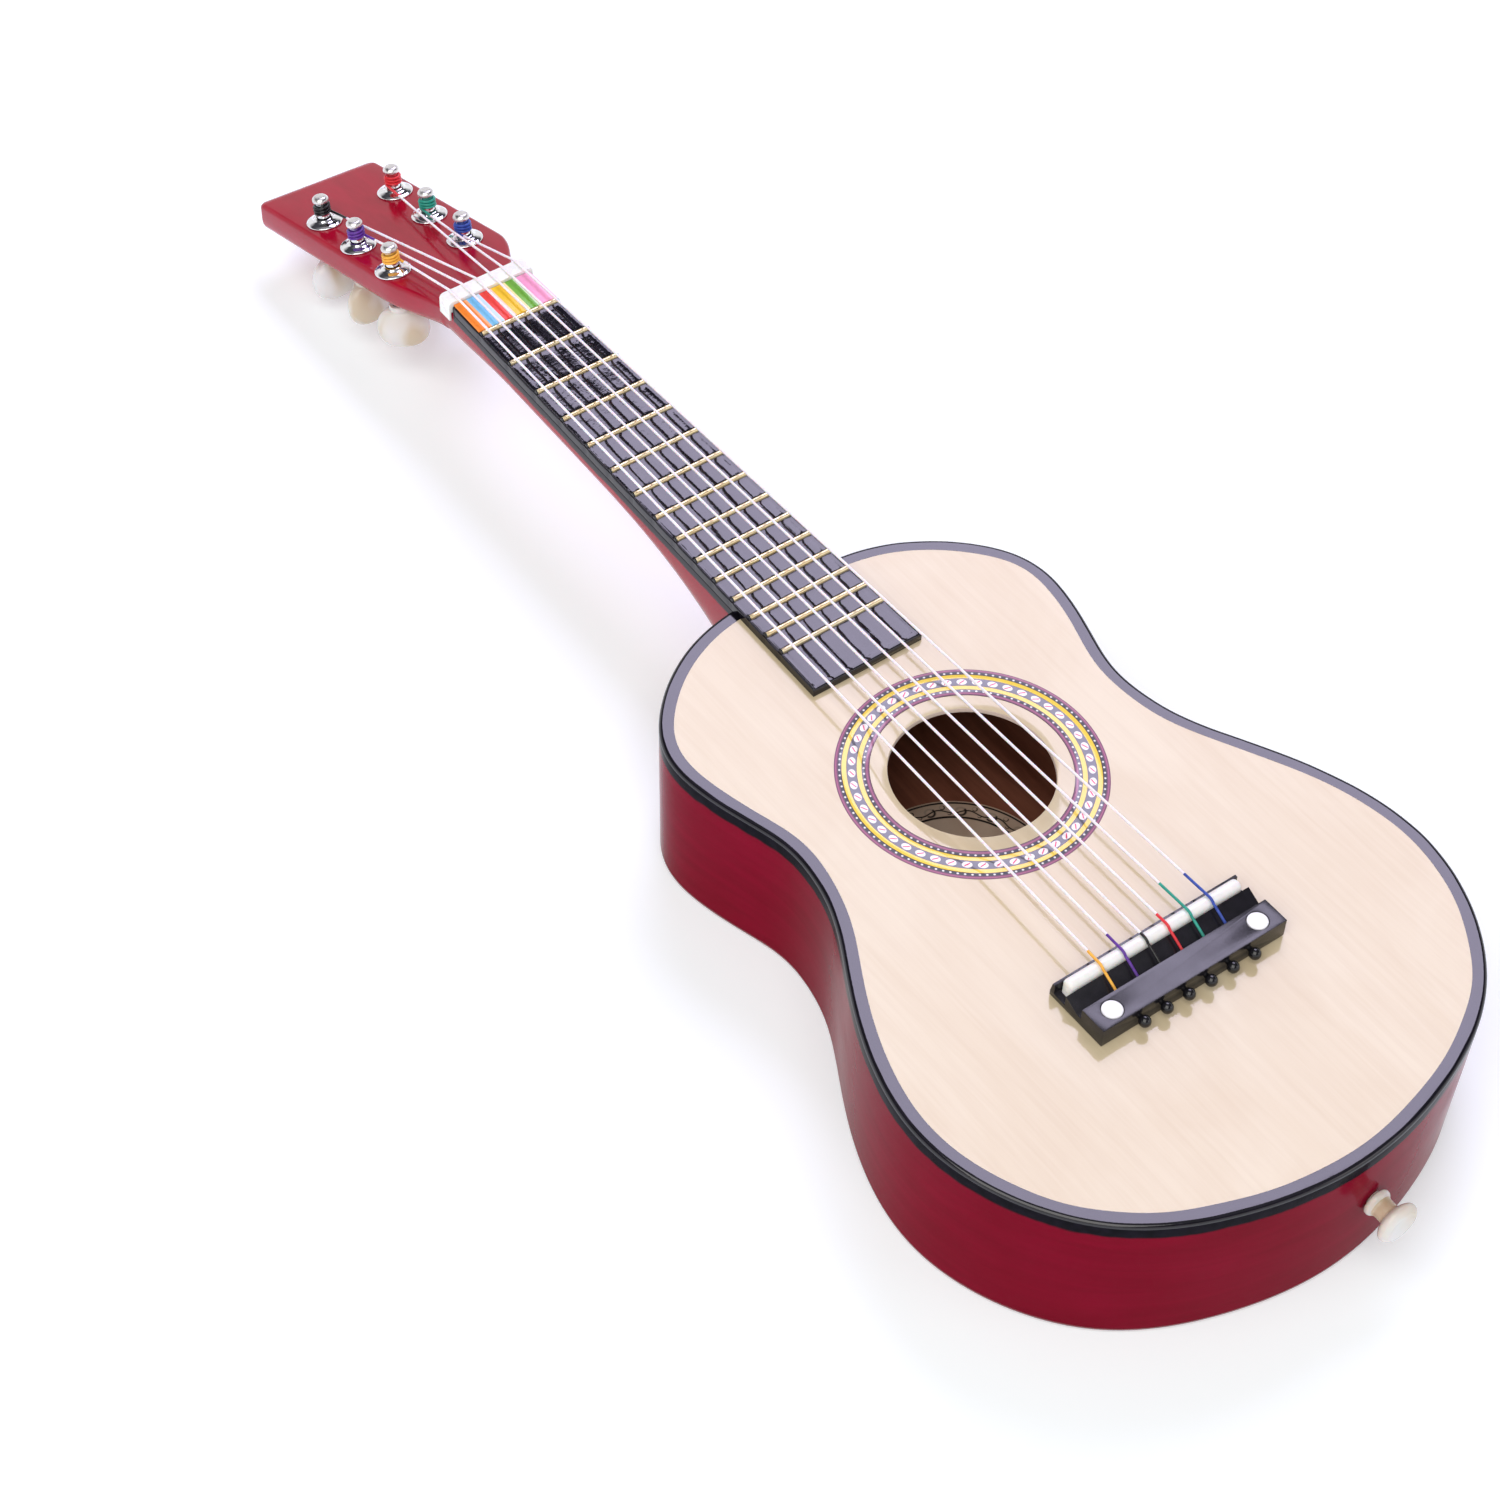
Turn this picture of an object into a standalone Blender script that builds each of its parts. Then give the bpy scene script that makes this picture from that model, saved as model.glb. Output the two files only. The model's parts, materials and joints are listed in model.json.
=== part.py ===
"""Six-string wooden toy guitar, lying on its back.

Metres, +Z up. The back of the body rests on z = 0, +Y runs from the tail to the tip of the
headstock, +X is the side of the thin strings. Lengths along the guitar are first written as
distances from the end of the fret scale, which lies just in front of the bridge (positive towards
the head), and then shifted by CENTRE_Y, so that the middle of the whole guitar sits at the origin.
"""
import math

import bmesh
import bpy
import numpy as np
from mathutils import Matrix, Vector

# ------------------------------------------------------------------ driving dimensions
SCALE_LENGTH = 0.364        # the nut's crown to the end of the fret scale
GAP = 0.0003                # clearance between two pieces that touch or are glued
RUNNING_GAP = 0.0004        # radial clearance round a turning peg shaft

# body
BODY_FRET = 12              # the neck meets the body at this fret
BODY_LENGTH = 0.2929
BODY_DEPTH = 0.060
BODY_TAPER = 0.001          # the back is smaller than the soundboard by this much all round
UPPER_BOUT = 0.1586         # widths across the upper bout, the waist and the lower bout
WAIST = 0.1382
LOWER_BOUT = 0.2081
PLATE_THICKNESS = 0.0022    # soundboard and back
RIB_THICKNESS = 0.0025
RIB_SEAM = 0.0006
OUTLINE_STEPS = 88
SOUND_HOLE_RADIUS = 0.0279
SOUND_HOLE_PLACE = 0.0769
ROSETTE_INNER = 0.0338
ROSETTE_OUTER = 0.0455
STICKER_THICKNESS = 0.0004

# neck, heel and headstock
BOARD_WIDTH_NUT = 0.0348
BOARD_WIDTH_END = 0.0462
BOARD_END = 0.133           # where the fingerboard stops, over the body
BOARD_THICKNESS = 0.003
NECK_DEPTH = 0.0125
NECK_EDGE = 0.0004          # easing of the neck's upper corners
HEEL_DEPTH = 0.038
HEEL_LENGTH = 0.090
HEEL_CURVE = 2.6            # how fast the heel runs out into the neck
NECK_TO_HEAD = 0.045        # length over which the neck thickens towards the head
HEAD_DEPTH = 0.0138
HEAD_WIDTH = 0.0518
HEAD_SKEW = 0.0625          # the head is cut slightly askew: sideways run per length
HEAD_LENGTH = 0.1195        # from the back of the nut to the tip
HEAD_FLARE = 0.034
HEAD_ANGLE = math.radians(12.4)
HEAD_STEP = 0.0027          # drop from the neck's top to the head's face behind the nut
HEAD_EDGE = 0.0018
HEAD_CORNER = 0.004
PROFILE_POWER = 3.5         # how square the neck's back is
HEAD_POWER = 6.0            # and the head's

# frets and nut
FRET_COUNT = 15
FRET_WIDTH = 0.0018
FRET_HEIGHT = 0.001
FRET_INSET = 0.0006
TANG_WIDTH = 0.0005
TANG_DEPTH = 0.0012
NUT_WIDTH = 0.0067
NUT_LEAD = 0.0012           # the nut's front edge lies this far before its crown
NUT_HEIGHT = 0.0052         # above the neck's top
NUT_WING = 0.0010           # side walls that reach down past the fingerboard
NUT_WING_DROP = 0.0034
NUT_BEVEL = 0.0016

# bridge and saddle, with heights above the soundboard
BRIDGE_LENGTH = 0.0756
BRIDGE_FRONT = -0.0080
BRIDGE_BACK = -0.0328
BRIDGE_LIP = 0.0062
BRIDGE_LIP_WIDTH = 0.0011
BRIDGE_FLOOR = 0.0022
TIE_BLOCK_FRONT = -0.0226
TIE_BLOCK_HEIGHT = 0.0078
RAMP_HEIGHT = 0.0064
RAMP_FOOT = 0.0034
TROUGH_WIDTH = 0.0017
SADDLE_WIDTH = 0.0046
SADDLE_PLACE = -0.0125
SADDLE_LENGTH = 0.071
SADDLE_HEIGHT = 0.0090
PEARL_RADIUS = 0.0035
PEARL_OFFSET = 0.030
PEARL_THICKNESS = 0.0009
SCREW_RADIUS = 0.0015
SCREW_HEAD_RADIUS = 0.0029
SCREW_HEAD_HEIGHT = 0.0018
SCREW_PAST_PLATE = 0.0015   # how far the screws reach through the bridge plate

# strings
STRING_COUNT = 6
STRING_RADIUS = 0.00048
STRING_SPACING_NUT = 0.00585
STRING_SPACING_BRIDGE = 0.0091
STRING_HOLE_RADIUS = 0.001
STRING_HOLE_HEIGHT = 0.0043
BALL_RADIUS = 0.0021
WINDING_TURNS = 3
WINDING_PITCH = 0.00125
WINDING_STEPS = 8           # points in one turn of the winding

# tuning pegs, with heights measured from the head's face along the peg
PEG_OFFSET = 0.0162         # half the distance between the two rows
PEG_FIRST = 0.0425          # from the nut's crown to the nearest pair
PEG_PITCH = 0.0255
PEG_SHAFT_RADIUS = 0.0025
PEG_WAIST_RADIUS = 0.0023
PEG_CAP_RADIUS = 0.00325
PEG_CAP_HEIGHT = 0.0026
PEG_HEIGHT = 0.0115
WINDING_START = 0.0040
FERRULE_RADIUS = 0.00715
FERRULE_HEIGHT = 0.0026
KNOB_WIDTH = 0.0204
KNOB_THICKNESS = 0.0098
KNOB_HEIGHT = 0.0186
KNOB_COLLAR_RADIUS = 0.0042
KNOB_COLLAR_HEIGHT = 0.0016
KNOB_SOCKET = 0.007
KNOB_ANGLES = (-34, 11, 0, -20, 48, 25)   # how each key happens to be turned, in degrees

# strap button
BUTTON_OFFSET = 0.0105      # it sits a little to the side of the middle of the tail
BUTTON_LENGTH = 0.0125
BUTTON_RADIUS = 0.0076
BUTTON_NECK_RADIUS = 0.0037
BUTTON_HOLE_RADIUS = 0.0030
BUTTON_FLANGE_RADIUS = 0.0050
BUTTON_CAP_THICKNESS = 0.0042
BUTTON_SHANK_LENGTH = 0.014

# inside the body
BLOCK_WIDTH = 0.052
BLOCK_DEPTH = 0.018
BRACE_WIDTH = 0.006
BRACE_HEIGHT = 0.008
BRACE_END_GAP = 0.003
UPPER_BRACE_PLACE = 0.127
BACK_BRACE_PLACE = 0.025
BRIDGE_PLATE_LENGTH = 0.088
BRIDGE_PLATE_WIDTH = 0.032
BRIDGE_PLATE_THICKNESS = 0.0025
LABEL_RADIUS = 0.036

# ------------------------------------------------------------------ derived places
TOP = BODY_DEPTH
BODY_END = SCALE_LENGTH * 2 ** (-BODY_FRET / 12)
TAIL = BODY_END - BODY_LENGTH
NUT_FRONT = SCALE_LENGTH - NUT_LEAD
NUT_BACK = NUT_FRONT + NUT_WIDTH
HEAD_TIP = NUT_BACK + HEAD_LENGTH
HEAD_PIVOT = SCALE_LENGTH + 0.09
BUTTON_Z = BODY_DEPTH / 2
BUTTON_BASE = TAIL + BODY_TAPER * (1 - (BUTTON_Z + BUTTON_FLANGE_RADIUS) / BODY_DEPTH)
BUTTON_TIP = BUTTON_BASE - BUTTON_LENGTH
HEAD_REACH = HEAD_TIP + HEAD_SKEW * (HEAD_WIDTH / 2 - HEAD_CORNER)
CENTRE_Y = (HEAD_REACH + BUTTON_TIP) / 2
HEAD_SLOPE = math.tan(HEAD_ANGLE)
BOARD_TOP = TOP + GAP + BOARD_THICKNESS


def place(y):
    """Turn a distance from the end of the fret scale into a position along the guitar."""
    return y - CENTRE_Y


def head_face(y):
    """Height of the headstock's face at a distance from the end of the fret scale."""
    return TOP - HEAD_STEP - HEAD_SLOPE * (y - NUT_BACK)


def board_half_width(y):
    share = (SCALE_LENGTH - y) / (SCALE_LENGTH - BOARD_END)
    return (BOARD_WIDTH_NUT + (BOARD_WIDTH_END - BOARD_WIDTH_NUT) * share) / 2


def fret_distance(number):
    return SCALE_LENGTH * 2 ** (-number / 12)


def ease(value):
    value = min(max(value, 0.0), 1.0)
    return value * value * (3 - 2 * value)


# ------------------------------------------------------------------ scene and helpers
for old in list(bpy.data.objects):
    bpy.data.objects.remove(old, do_unlink=True)


def finish(name, srgb, roughness, metallic=0.0):
    """A Principled material from an sRGB colour."""
    material = bpy.data.materials.new(name)
    material.use_nodes = True
    shader = material.node_tree.nodes["Principled BSDF"]
    linear = [((c + 0.055) / 1.055) ** 2.4 if c > 0.04045 else c / 12.92 for c in srgb]
    shader.inputs["Base Color"].default_value = (*linear, 1.0)
    shader.inputs["Roughness"].default_value = roughness
    shader.inputs["Metallic"].default_value = metallic
    material.diffuse_color = (*linear, 1.0)
    return material


FINISHES = {
    "maple": finish("maple_top", (0.97, 0.91, 0.84), 0.3),
    "red": finish("cherry_lacquer", (0.64, 0.12, 0.22), 0.2),
    "softwood": finish("softwood", (0.78, 0.62, 0.42), 0.7),
    "black": finish("black_lacquer", (0.07, 0.06, 0.08), 0.15),
    "black_plastic": finish("black_plastic", (0.06, 0.05, 0.06), 0.2),
    "white": finish("white_plastic", (0.93, 0.93, 0.91), 0.3),
    "ivory": finish("ivory_plastic", (0.91, 0.88, 0.82), 0.2),
    "pearl": finish("pearl_plastic", (0.92, 0.92, 0.94), 0.25),
    "brass": finish("brass_wire", (0.88, 0.72, 0.42), 0.25, 1.0),
    "chrome": finish("chrome", (0.85, 0.85, 0.86), 0.1, 1.0),
    "steel": finish("plated_steel", (0.75, 0.75, 0.76), 0.3, 1.0),
    "nylon": finish("clear_nylon", (0.95, 0.93, 0.97), 0.25),
    "print": finish("printed_ring", (0.45, 0.36, 0.45), 0.35),
    "paper": finish("paper_label", (0.80, 0.66, 0.46), 0.8),
    "sticker": finish("colour_sticker", (0.95, 0.55, 0.15), 0.35),
}


def add_object(name, mesh, material, sharp_degrees=35):
    mesh.materials.append(FINISHES[material])
    mesh.shade_smooth()
    mesh.set_sharp_from_angle(angle=math.radians(sharp_degrees))
    item = bpy.data.objects.new(name, mesh)
    bpy.context.collection.objects.link(item)
    return item


def mesh_from(name, points, faces):
    mesh = bpy.data.meshes.new(name)
    mesh.from_pydata([tuple(p) for p in points], [], faces)
    work = bmesh.new()
    work.from_mesh(mesh)
    bmesh.ops.recalc_face_normals(work, faces=work.faces)
    work.to_mesh(mesh)
    work.free()
    return mesh


def stack_rings(name, rings, closed=False):
    """Join equal rings of points, one to the next. The ends are filled unless it closes on itself."""
    size = len(rings[0])
    points = [p for ring in rings for p in ring]
    faces = []
    count = len(rings)
    for r in range(count if closed else count - 1):
        here = r * size
        there = ((r + 1) % count) * size
        for k in range(size):
            n = (k + 1) % size
            faces.append((here + k, here + n, there + n, there + k))
    if not closed:
        faces.append(tuple(range(size)))
        faces.append(tuple(range((count - 1) * size, count * size)))
    return mesh_from(name, points, faces)


def prism(name, outline, low, high):
    """An upright solid from a flat (x, y) outline."""
    bottom = [(x, y, low) for x, y in outline]
    top = [(x, y, high) for x, y in outline]
    return stack_rings(name, [bottom, top])


def block(name, x0, x1, y0, y1, z0, z1):
    """A box, with y given as distances from the end of the fret scale."""
    outline = [(x0, place(y0)), (x1, place(y0)), (x1, place(y1)), (x0, place(y1))]
    return prism(name, outline, z0, z1)


def turned(name, profile, steps):
    """A solid turned about Z from a closed (radius, height) profile."""
    rings = []
    for r, z in profile:
        ring = []
        for k in range(steps):
            angle = 2 * math.pi * k / steps
            ring.append((r * math.cos(angle), r * math.sin(angle), z))
        rings.append(ring)
    return stack_rings(name, rings)


def turned_ring(name, profile, steps):
    """As turned, but with a hole: the profile closes on itself."""
    rings = []
    for k in range(steps):
        angle = 2 * math.pi * k / steps
        rings.append([(r * math.cos(angle), r * math.sin(angle), z) for r, z in profile])
    return stack_rings(name, rings, closed=True)


def rods(name, ends, radius, steps=12):
    """Straight round rods, used to cut holes: one for each pair of end points."""
    work = bmesh.new()
    for start, end in ends:
        start = Vector(start)
        span = Vector(end) - start
        turn = span.to_track_quat("Z", "Y").to_matrix().to_4x4()
        middle = Matrix.Translation(start + span / 2) @ turn
        bmesh.ops.create_cone(work, cap_ends=True, segments=steps, radius1=radius, radius2=radius,
                              depth=span.length, matrix=middle)
    mesh = bpy.data.meshes.new(name)
    work.to_mesh(mesh)
    work.free()
    cutter = bpy.data.objects.new(name, mesh)
    bpy.context.collection.objects.link(cutter)
    cutter.hide_render = True
    cutter.display_type = "WIRE"
    return cutter


def cut(item, cutter):
    modifier = item.modifiers.new("cut_" + cutter.name, "BOOLEAN")
    modifier.operation = "DIFFERENCE"
    modifier.solver = "EXACT"
    modifier.object = cutter


# ------------------------------------------------------------------ body outline
def periodic_spline(points, steps):
    """Points evenly spaced along the smooth closed curve through the given ones."""
    points = np.array(points)
    count = len(points)
    spans = np.sqrt(np.linalg.norm(np.roll(points, -1, axis=0) - points, axis=1))
    system = np.zeros((count, count))
    right = np.zeros((count, 2))
    for k in range(count):
        before = spans[k - 1]
        after = spans[k]
        following = (k + 1) % count
        system[k, k - 1] = before
        system[k, k] = 2 * (before + after)
        system[k, following] = after
        rise_after = (points[following] - points[k]) / after
        rise_before = (points[k] - points[k - 1]) / before
        right[k] = 6 * (rise_after - rise_before)
    bend = np.linalg.solve(system, right)
    fine = []
    for k in range(count):
        n = (k + 1) % count
        h = spans[k]
        for t in np.linspace(0, h, 40, endpoint=False):
            value = bend[k] * (h - t) ** 3 / (6 * h) + bend[n] * t ** 3 / (6 * h)
            value = value + (points[k] / h - bend[k] * h / 6) * (h - t)
            value = value + (points[n] / h - bend[n] * h / 6) * t
            fine.append(value)
    fine = np.array(fine + [fine[0]])
    run = np.concatenate([[0], np.cumsum(np.linalg.norm(np.diff(fine, axis=0), axis=1))])
    wanted = np.linspace(0, run[-1], steps, endpoint=False)
    return np.stack([np.interp(wanted, run, fine[:, axis]) for axis in (0, 1)], axis=1)


def body_outline():
    """Closed outline from the middle of the neck joint round by +X, in guitar coordinates."""
    upper = UPPER_BOUT / 2
    waist = WAIST / 2
    lower = LOWER_BOUT / 2
    half = [
        (1.000, 0.0),
        (0.984, 0.495 * upper),
        (0.915, 0.87 * upper),
        (0.833, upper),
        (0.721, waist + 0.36 * (upper - waist)),
        (0.662, waist),
        (0.575, waist + 0.12 * (lower - waist)),
        (0.467, waist + 0.58 * (lower - waist)),
        (0.285, lower),
        (0.106, 0.785 * lower),
        (0.026, 0.41 * lower),
        (0.000, 0.0),
    ]
    right = [(x, place(TAIL + share * BODY_LENGTH)) for share, x in half]
    left = [(-x, y) for x, y in right[-2:0:-1]]
    return periodic_spline(right + left, OUTLINE_STEPS)


OUTLINE = body_outline()


def inset(outline, distance):
    """Move a closed outline inwards by a distance."""
    ahead = np.roll(outline, -1, axis=0) - np.roll(outline, 1, axis=0)
    ahead = ahead / np.linalg.norm(ahead, axis=1)[:, None]
    return outline + distance * np.stack([ahead[:, 1], -ahead[:, 0]], axis=1)


def side_outline(z, margin=0.0):
    """The body's outline at a height, less a margin: the sides lean in towards the back."""
    return inset(OUTLINE, margin + BODY_TAPER * (1 - z / TOP))


def leaning_prism(name, low, high, margin=0.0):
    rings = []
    for z in (low, high):
        rings.append([(x, y, z) for x, y in side_outline(z, margin)])
    return stack_rings(name, rings)


def outline_half_width(y, margin):
    """Half the width inside the outline, less a margin, at a place along the guitar."""
    inner = inset(OUTLINE, margin)
    right = inner[inner[:, 0] > -1e-6]
    right = right[np.argsort(right[:, 1])]
    return float(np.interp(place(y), right[:, 1], right[:, 0]))


def outline_end(x, margin, at_neck=True):
    """Where the inset outline crosses a given x, at the neck end or at the tail."""
    inner = inset(OUTLINE, margin)
    middle = place((BODY_END + TAIL) / 2)
    side = inner[inner[:, 1] > middle] if at_neck else inner[inner[:, 1] < middle]
    side = side[np.argsort(side[:, 0])]
    return float(np.interp(x, side[:, 0], side[:, 1]))


# ------------------------------------------------------------------ body
BACK_TOP = PLATE_THICKNESS
RIB_LOW = BACK_TOP + GAP
RIB_HIGH = TOP - PLATE_THICKNESS - GAP
BOARD_UNDERSIDE = TOP - PLATE_THICKNESS
INSIDE = RIB_THICKNESS + GAP
HOLE_Y = place(SOUND_HOLE_PLACE)
PEARL_Y = (TIE_BLOCK_FRONT + BRIDGE_BACK) / 2
BUTTON_Y = place(BUTTON_BASE)


def make_cutters():
    past = 0.01
    hole = rods("sound_hole_cutter", [((0, HOLE_Y, TOP - past), (0, HOLE_Y, TOP + past))],
                SOUND_HOLE_RADIUS, 48)
    ends = []
    for x in (-PEARL_OFFSET, PEARL_OFFSET):
        ends.append(((x, place(PEARL_Y), TOP - past), (x, place(PEARL_Y), TOP + TIE_BLOCK_HEIGHT)))
    screws = rods("bridge_screw_cutter", ends, SCREW_RADIUS + GAP)
    start = (BUTTON_OFFSET, BUTTON_Y - past, BUTTON_Z)
    end = (BUTTON_OFFSET, BUTTON_Y + BUTTON_SHANK_LENGTH, BUTTON_Z)
    button = rods("strap_button_cutter", [(start, end)], BUTTON_HOLE_RADIUS + GAP)
    return hole, screws, button


HOLE_CUTTER, SCREW_CUTTER, BUTTON_CUTTER = make_cutters()


def make_body():
    soundboard = add_object("soundboard", leaning_prism("soundboard", BOARD_UNDERSIDE, TOP), "maple")
    cut(soundboard, HOLE_CUTTER)
    cut(soundboard, SCREW_CUTTER)
    add_object("back_plate", leaning_prism("back_plate", 0.0, BACK_TOP), "red")

    # the rib is one bent strip: its two ends meet at a seam behind the heel
    corners = []
    for margin, z in ((0.0, RIB_LOW), (0.0, RIB_HIGH), (RIB_THICKNESS, RIB_HIGH), (RIB_THICKNESS, RIB_LOW)):
        loop = [(x, y, z) for x, y in side_outline(z, margin)]
        seam_y = loop[0][1]
        corners.append([(RIB_SEAM / 2, seam_y, z)] + loop[1:] + [(-RIB_SEAM / 2, seam_y, z)])
    rib = add_object("rib", stack_rings("rib", list(zip(*corners))), "red")
    cut(rib, BUTTON_CUTTER)


def end_block(name, at_neck):
    """A block glued inside the rib, with its outer face following the rib's curve."""
    half = BLOCK_WIDTH / 2
    depth = -BLOCK_DEPTH if at_neck else BLOCK_DEPTH
    flat_y = outline_end(0, INSIDE, at_neck) + depth
    rings = []
    for z in (RIB_LOW, RIB_HIGH):
        margin = INSIDE + BODY_TAPER * (1 - z / TOP)
        curve = [(float(x), outline_end(x, margin, at_neck), z) for x in np.linspace(-half, half, 9)]
        rings.append(curve + [(half, flat_y, z), (-half, flat_y, z)])
    return add_object(name, stack_rings(name, rings), "softwood")


def cross_bar(name, y, low, high):
    half = outline_half_width(y, INSIDE + BRACE_END_GAP)
    bar = block(name, -half, half, y - BRACE_WIDTH / 2, y + BRACE_WIDTH / 2, low, high)
    add_object(name, bar, "softwood")


def make_inside():
    end_block("neck_block", True)
    tail_block = end_block("tail_block", False)
    cut(tail_block, BUTTON_CUTTER)
    under = BOARD_UNDERSIDE - GAP
    cross_bar("upper_brace", UPPER_BRACE_PLACE, under - BRACE_HEIGHT, under)
    cross_bar("back_brace", BACK_BRACE_PLACE, RIB_LOW, RIB_LOW + BRACE_HEIGHT)
    half = BRIDGE_PLATE_LENGTH / 2
    centre = (BRIDGE_FRONT + BRIDGE_BACK) / 2
    plate = block("bridge_plate", -half, half, centre - BRIDGE_PLATE_WIDTH / 2,
                  centre + BRIDGE_PLATE_WIDTH / 2, under - BRIDGE_PLATE_THICKNESS, under)
    cut(add_object("bridge_plate", plate, "softwood"), SCREW_CUTTER)
    profile = [(LABEL_RADIUS, 0), (LABEL_RADIUS, STICKER_THICKNESS)]
    label = add_object("inner_label", turned("inner_label", profile, 40), "paper")
    label.location = (0, HOLE_Y, RIB_LOW)


def make_rosette():
    low = GAP
    high = GAP + STICKER_THICKNESS
    profile = [(ROSETTE_INNER, low), (ROSETTE_OUTER, low), (ROSETTE_OUTER, high), (ROSETTE_INNER, high)]
    rosette = add_object("rosette", turned_ring("rosette", profile, 56), "print")
    rosette.location = (0, HOLE_Y, TOP)


# ------------------------------------------------------------------ neck and headstock
def neck_section(y, half_width, top, depth, edge, power, skew=0.0):
    """One cross-section: a flat top with eased corners and a rounded back, turned by the skew."""
    section = []
    for k in range(3):
        angle = math.pi / 2 * k / 2
        section.append((half_width - edge + edge * math.sin(angle), top - edge + edge * math.cos(angle)))
    steps = 13
    for k in range(1, steps):
        angle = math.pi * k / steps
        x = math.copysign(abs(math.cos(angle)) ** (2 / power), math.cos(angle)) * half_width
        section.append((x, top - edge - (depth - edge) * math.sin(angle) ** (2 / power)))
    section += [(-x, z) for x, z in section[2::-1]]
    shift = skew * (HEAD_PIVOT - y)
    return [(x + shift, place(y - skew * x), z + HEAD_SLOPE * skew * x) for x, z in section]


def neck_depth(y):
    share = min(max((y - BODY_END) / HEEL_LENGTH, 0.0), 1.0)
    return NECK_DEPTH + (HEEL_DEPTH - NECK_DEPTH) * (1 - share) ** HEEL_CURVE


def head_half_width(y):
    near = board_half_width(SCALE_LENGTH)
    return near + (HEAD_WIDTH / 2 - near) * ease((y - NUT_BACK) / HEAD_FLARE)


def make_neck():
    buried = 0.004              # the heel starts inside the body's outline and is cut back to it
    sections = []
    heel_steps = 12
    for k in range(heel_steps + 1):
        y = BODY_END - buried + (HEEL_LENGTH + buried) * (k / heel_steps) ** 1.4
        sections.append(neck_section(y, board_half_width(y), TOP, neck_depth(y),
                                     NECK_EDGE, PROFILE_POWER))
    head_depth = HEAD_DEPTH / math.cos(HEAD_ANGLE)
    blend_steps = 4
    for k in range(blend_steps + 1):
        share = k / blend_steps
        y = NUT_BACK - NECK_TO_HEAD * (1 - share)
        depth = NECK_DEPTH + (HEAD_STEP + head_depth - NECK_DEPTH) * ease(share)
        sections.append(neck_section(y, board_half_width(min(y, SCALE_LENGTH)), TOP, depth,
                                     NECK_EDGE, PROFILE_POWER))
    # headstock: a tilted plate with rounded edges and corners
    flare_steps = 8
    for k in range(flare_steps + 1):
        share = k / flare_steps
        y = NUT_BACK + NECK_EDGE + HEAD_FLARE * share
        edge = NECK_EDGE + (HEAD_EDGE - NECK_EDGE) * ease(2 * share)
        power = PROFILE_POWER + (HEAD_POWER - PROFILE_POWER) * ease(share)
        sections.append(neck_section(y, head_half_width(y), head_face(y), head_depth,
                                     edge, power, HEAD_SKEW * ease(share)))
    corner_steps = 4
    for k in range(corner_steps + 1):
        angle = math.pi / 2 * k / corner_steps
        y = HEAD_TIP - HEAD_CORNER * (1 - math.sin(angle))
        width = HEAD_WIDTH / 2 - HEAD_CORNER * (1 - math.cos(angle))
        shrink = HEAD_EDGE * (1 - math.cos(angle))
        sections.append(neck_section(y, width, head_face(y) - shrink, head_depth - 2 * shrink,
                                     HEAD_EDGE, HEAD_POWER, HEAD_SKEW))
    neck = add_object("neck", stack_rings("neck", sections), "red")
    # the heel's end is carved to sit against the curve of the body
    past = 0.001
    body = leaning_prism("body_cutter", -past, TOP + past, -GAP)
    body_cutter = bpy.data.objects.new("body_cutter", body)
    bpy.context.collection.objects.link(body_cutter)
    body_cutter.hide_render = True
    body_cutter.display_type = "WIRE"
    cut(neck, body_cutter)
    ends = []
    for x, y in PEG_PLACES:
        base = Vector((x, place(y), head_face(y)))
        ends.append((base - 2 * HEAD_DEPTH * PEG_AXIS, base + HEAD_DEPTH * PEG_AXIS))
    cut(neck, rods("peg_hole_cutter", ends, PEG_SHAFT_RADIUS + RUNNING_GAP, 16))


def make_fingerboard():
    """The board's side view, with a slot for each fret, drawn out to a tapering width."""
    low = TOP + GAP
    slot = TANG_WIDTH / 2 + GAP
    start = NUT_FRONT - GAP
    side = [(start, low), (start, BOARD_TOP)]
    for number in range(1, FRET_COUNT + 1):
        y = fret_distance(number)
        floor = BOARD_TOP - TANG_DEPTH - GAP
        side += [(y + slot, BOARD_TOP), (y + slot, floor), (y - slot, floor), (y - slot, BOARD_TOP)]
    side += [(BOARD_END, BOARD_TOP), (BOARD_END, low)]
    left = [(-board_half_width(y), place(y), z) for y, z in side]
    right = [(board_half_width(y), place(y), z) for y, z in side]
    add_object("fingerboard", stack_rings("fingerboard", [left, right]), "black")


def make_frets():
    """Each fret is a T: a domed crown over the board and a tang down in its slot."""
    for number in range(1, FRET_COUNT + 1):
        y = fret_distance(number)
        low = BOARD_TOP + GAP
        half = FRET_WIDTH / 2
        tang = TANG_WIDTH / 2
        side = [(-half, 0.0), (-half, 0.35 * FRET_HEIGHT), (-0.55 * half, 0.85 * FRET_HEIGHT),
                (0.0, FRET_HEIGHT), (0.55 * half, 0.85 * FRET_HEIGHT), (half, 0.35 * FRET_HEIGHT),
                (half, 0.0), (tang, 0.0), (tang, -TANG_DEPTH), (-tang, -TANG_DEPTH), (-tang, 0.0)]
        reach = board_half_width(y) - FRET_INSET
        rings = []
        for x in (-reach, reach):
            rings.append([(x, place(y) + dy, low + dz) for dy, dz in side])
        name = "fret_%02d" % number
        add_object(name, stack_rings(name, rings), "brass")


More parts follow.
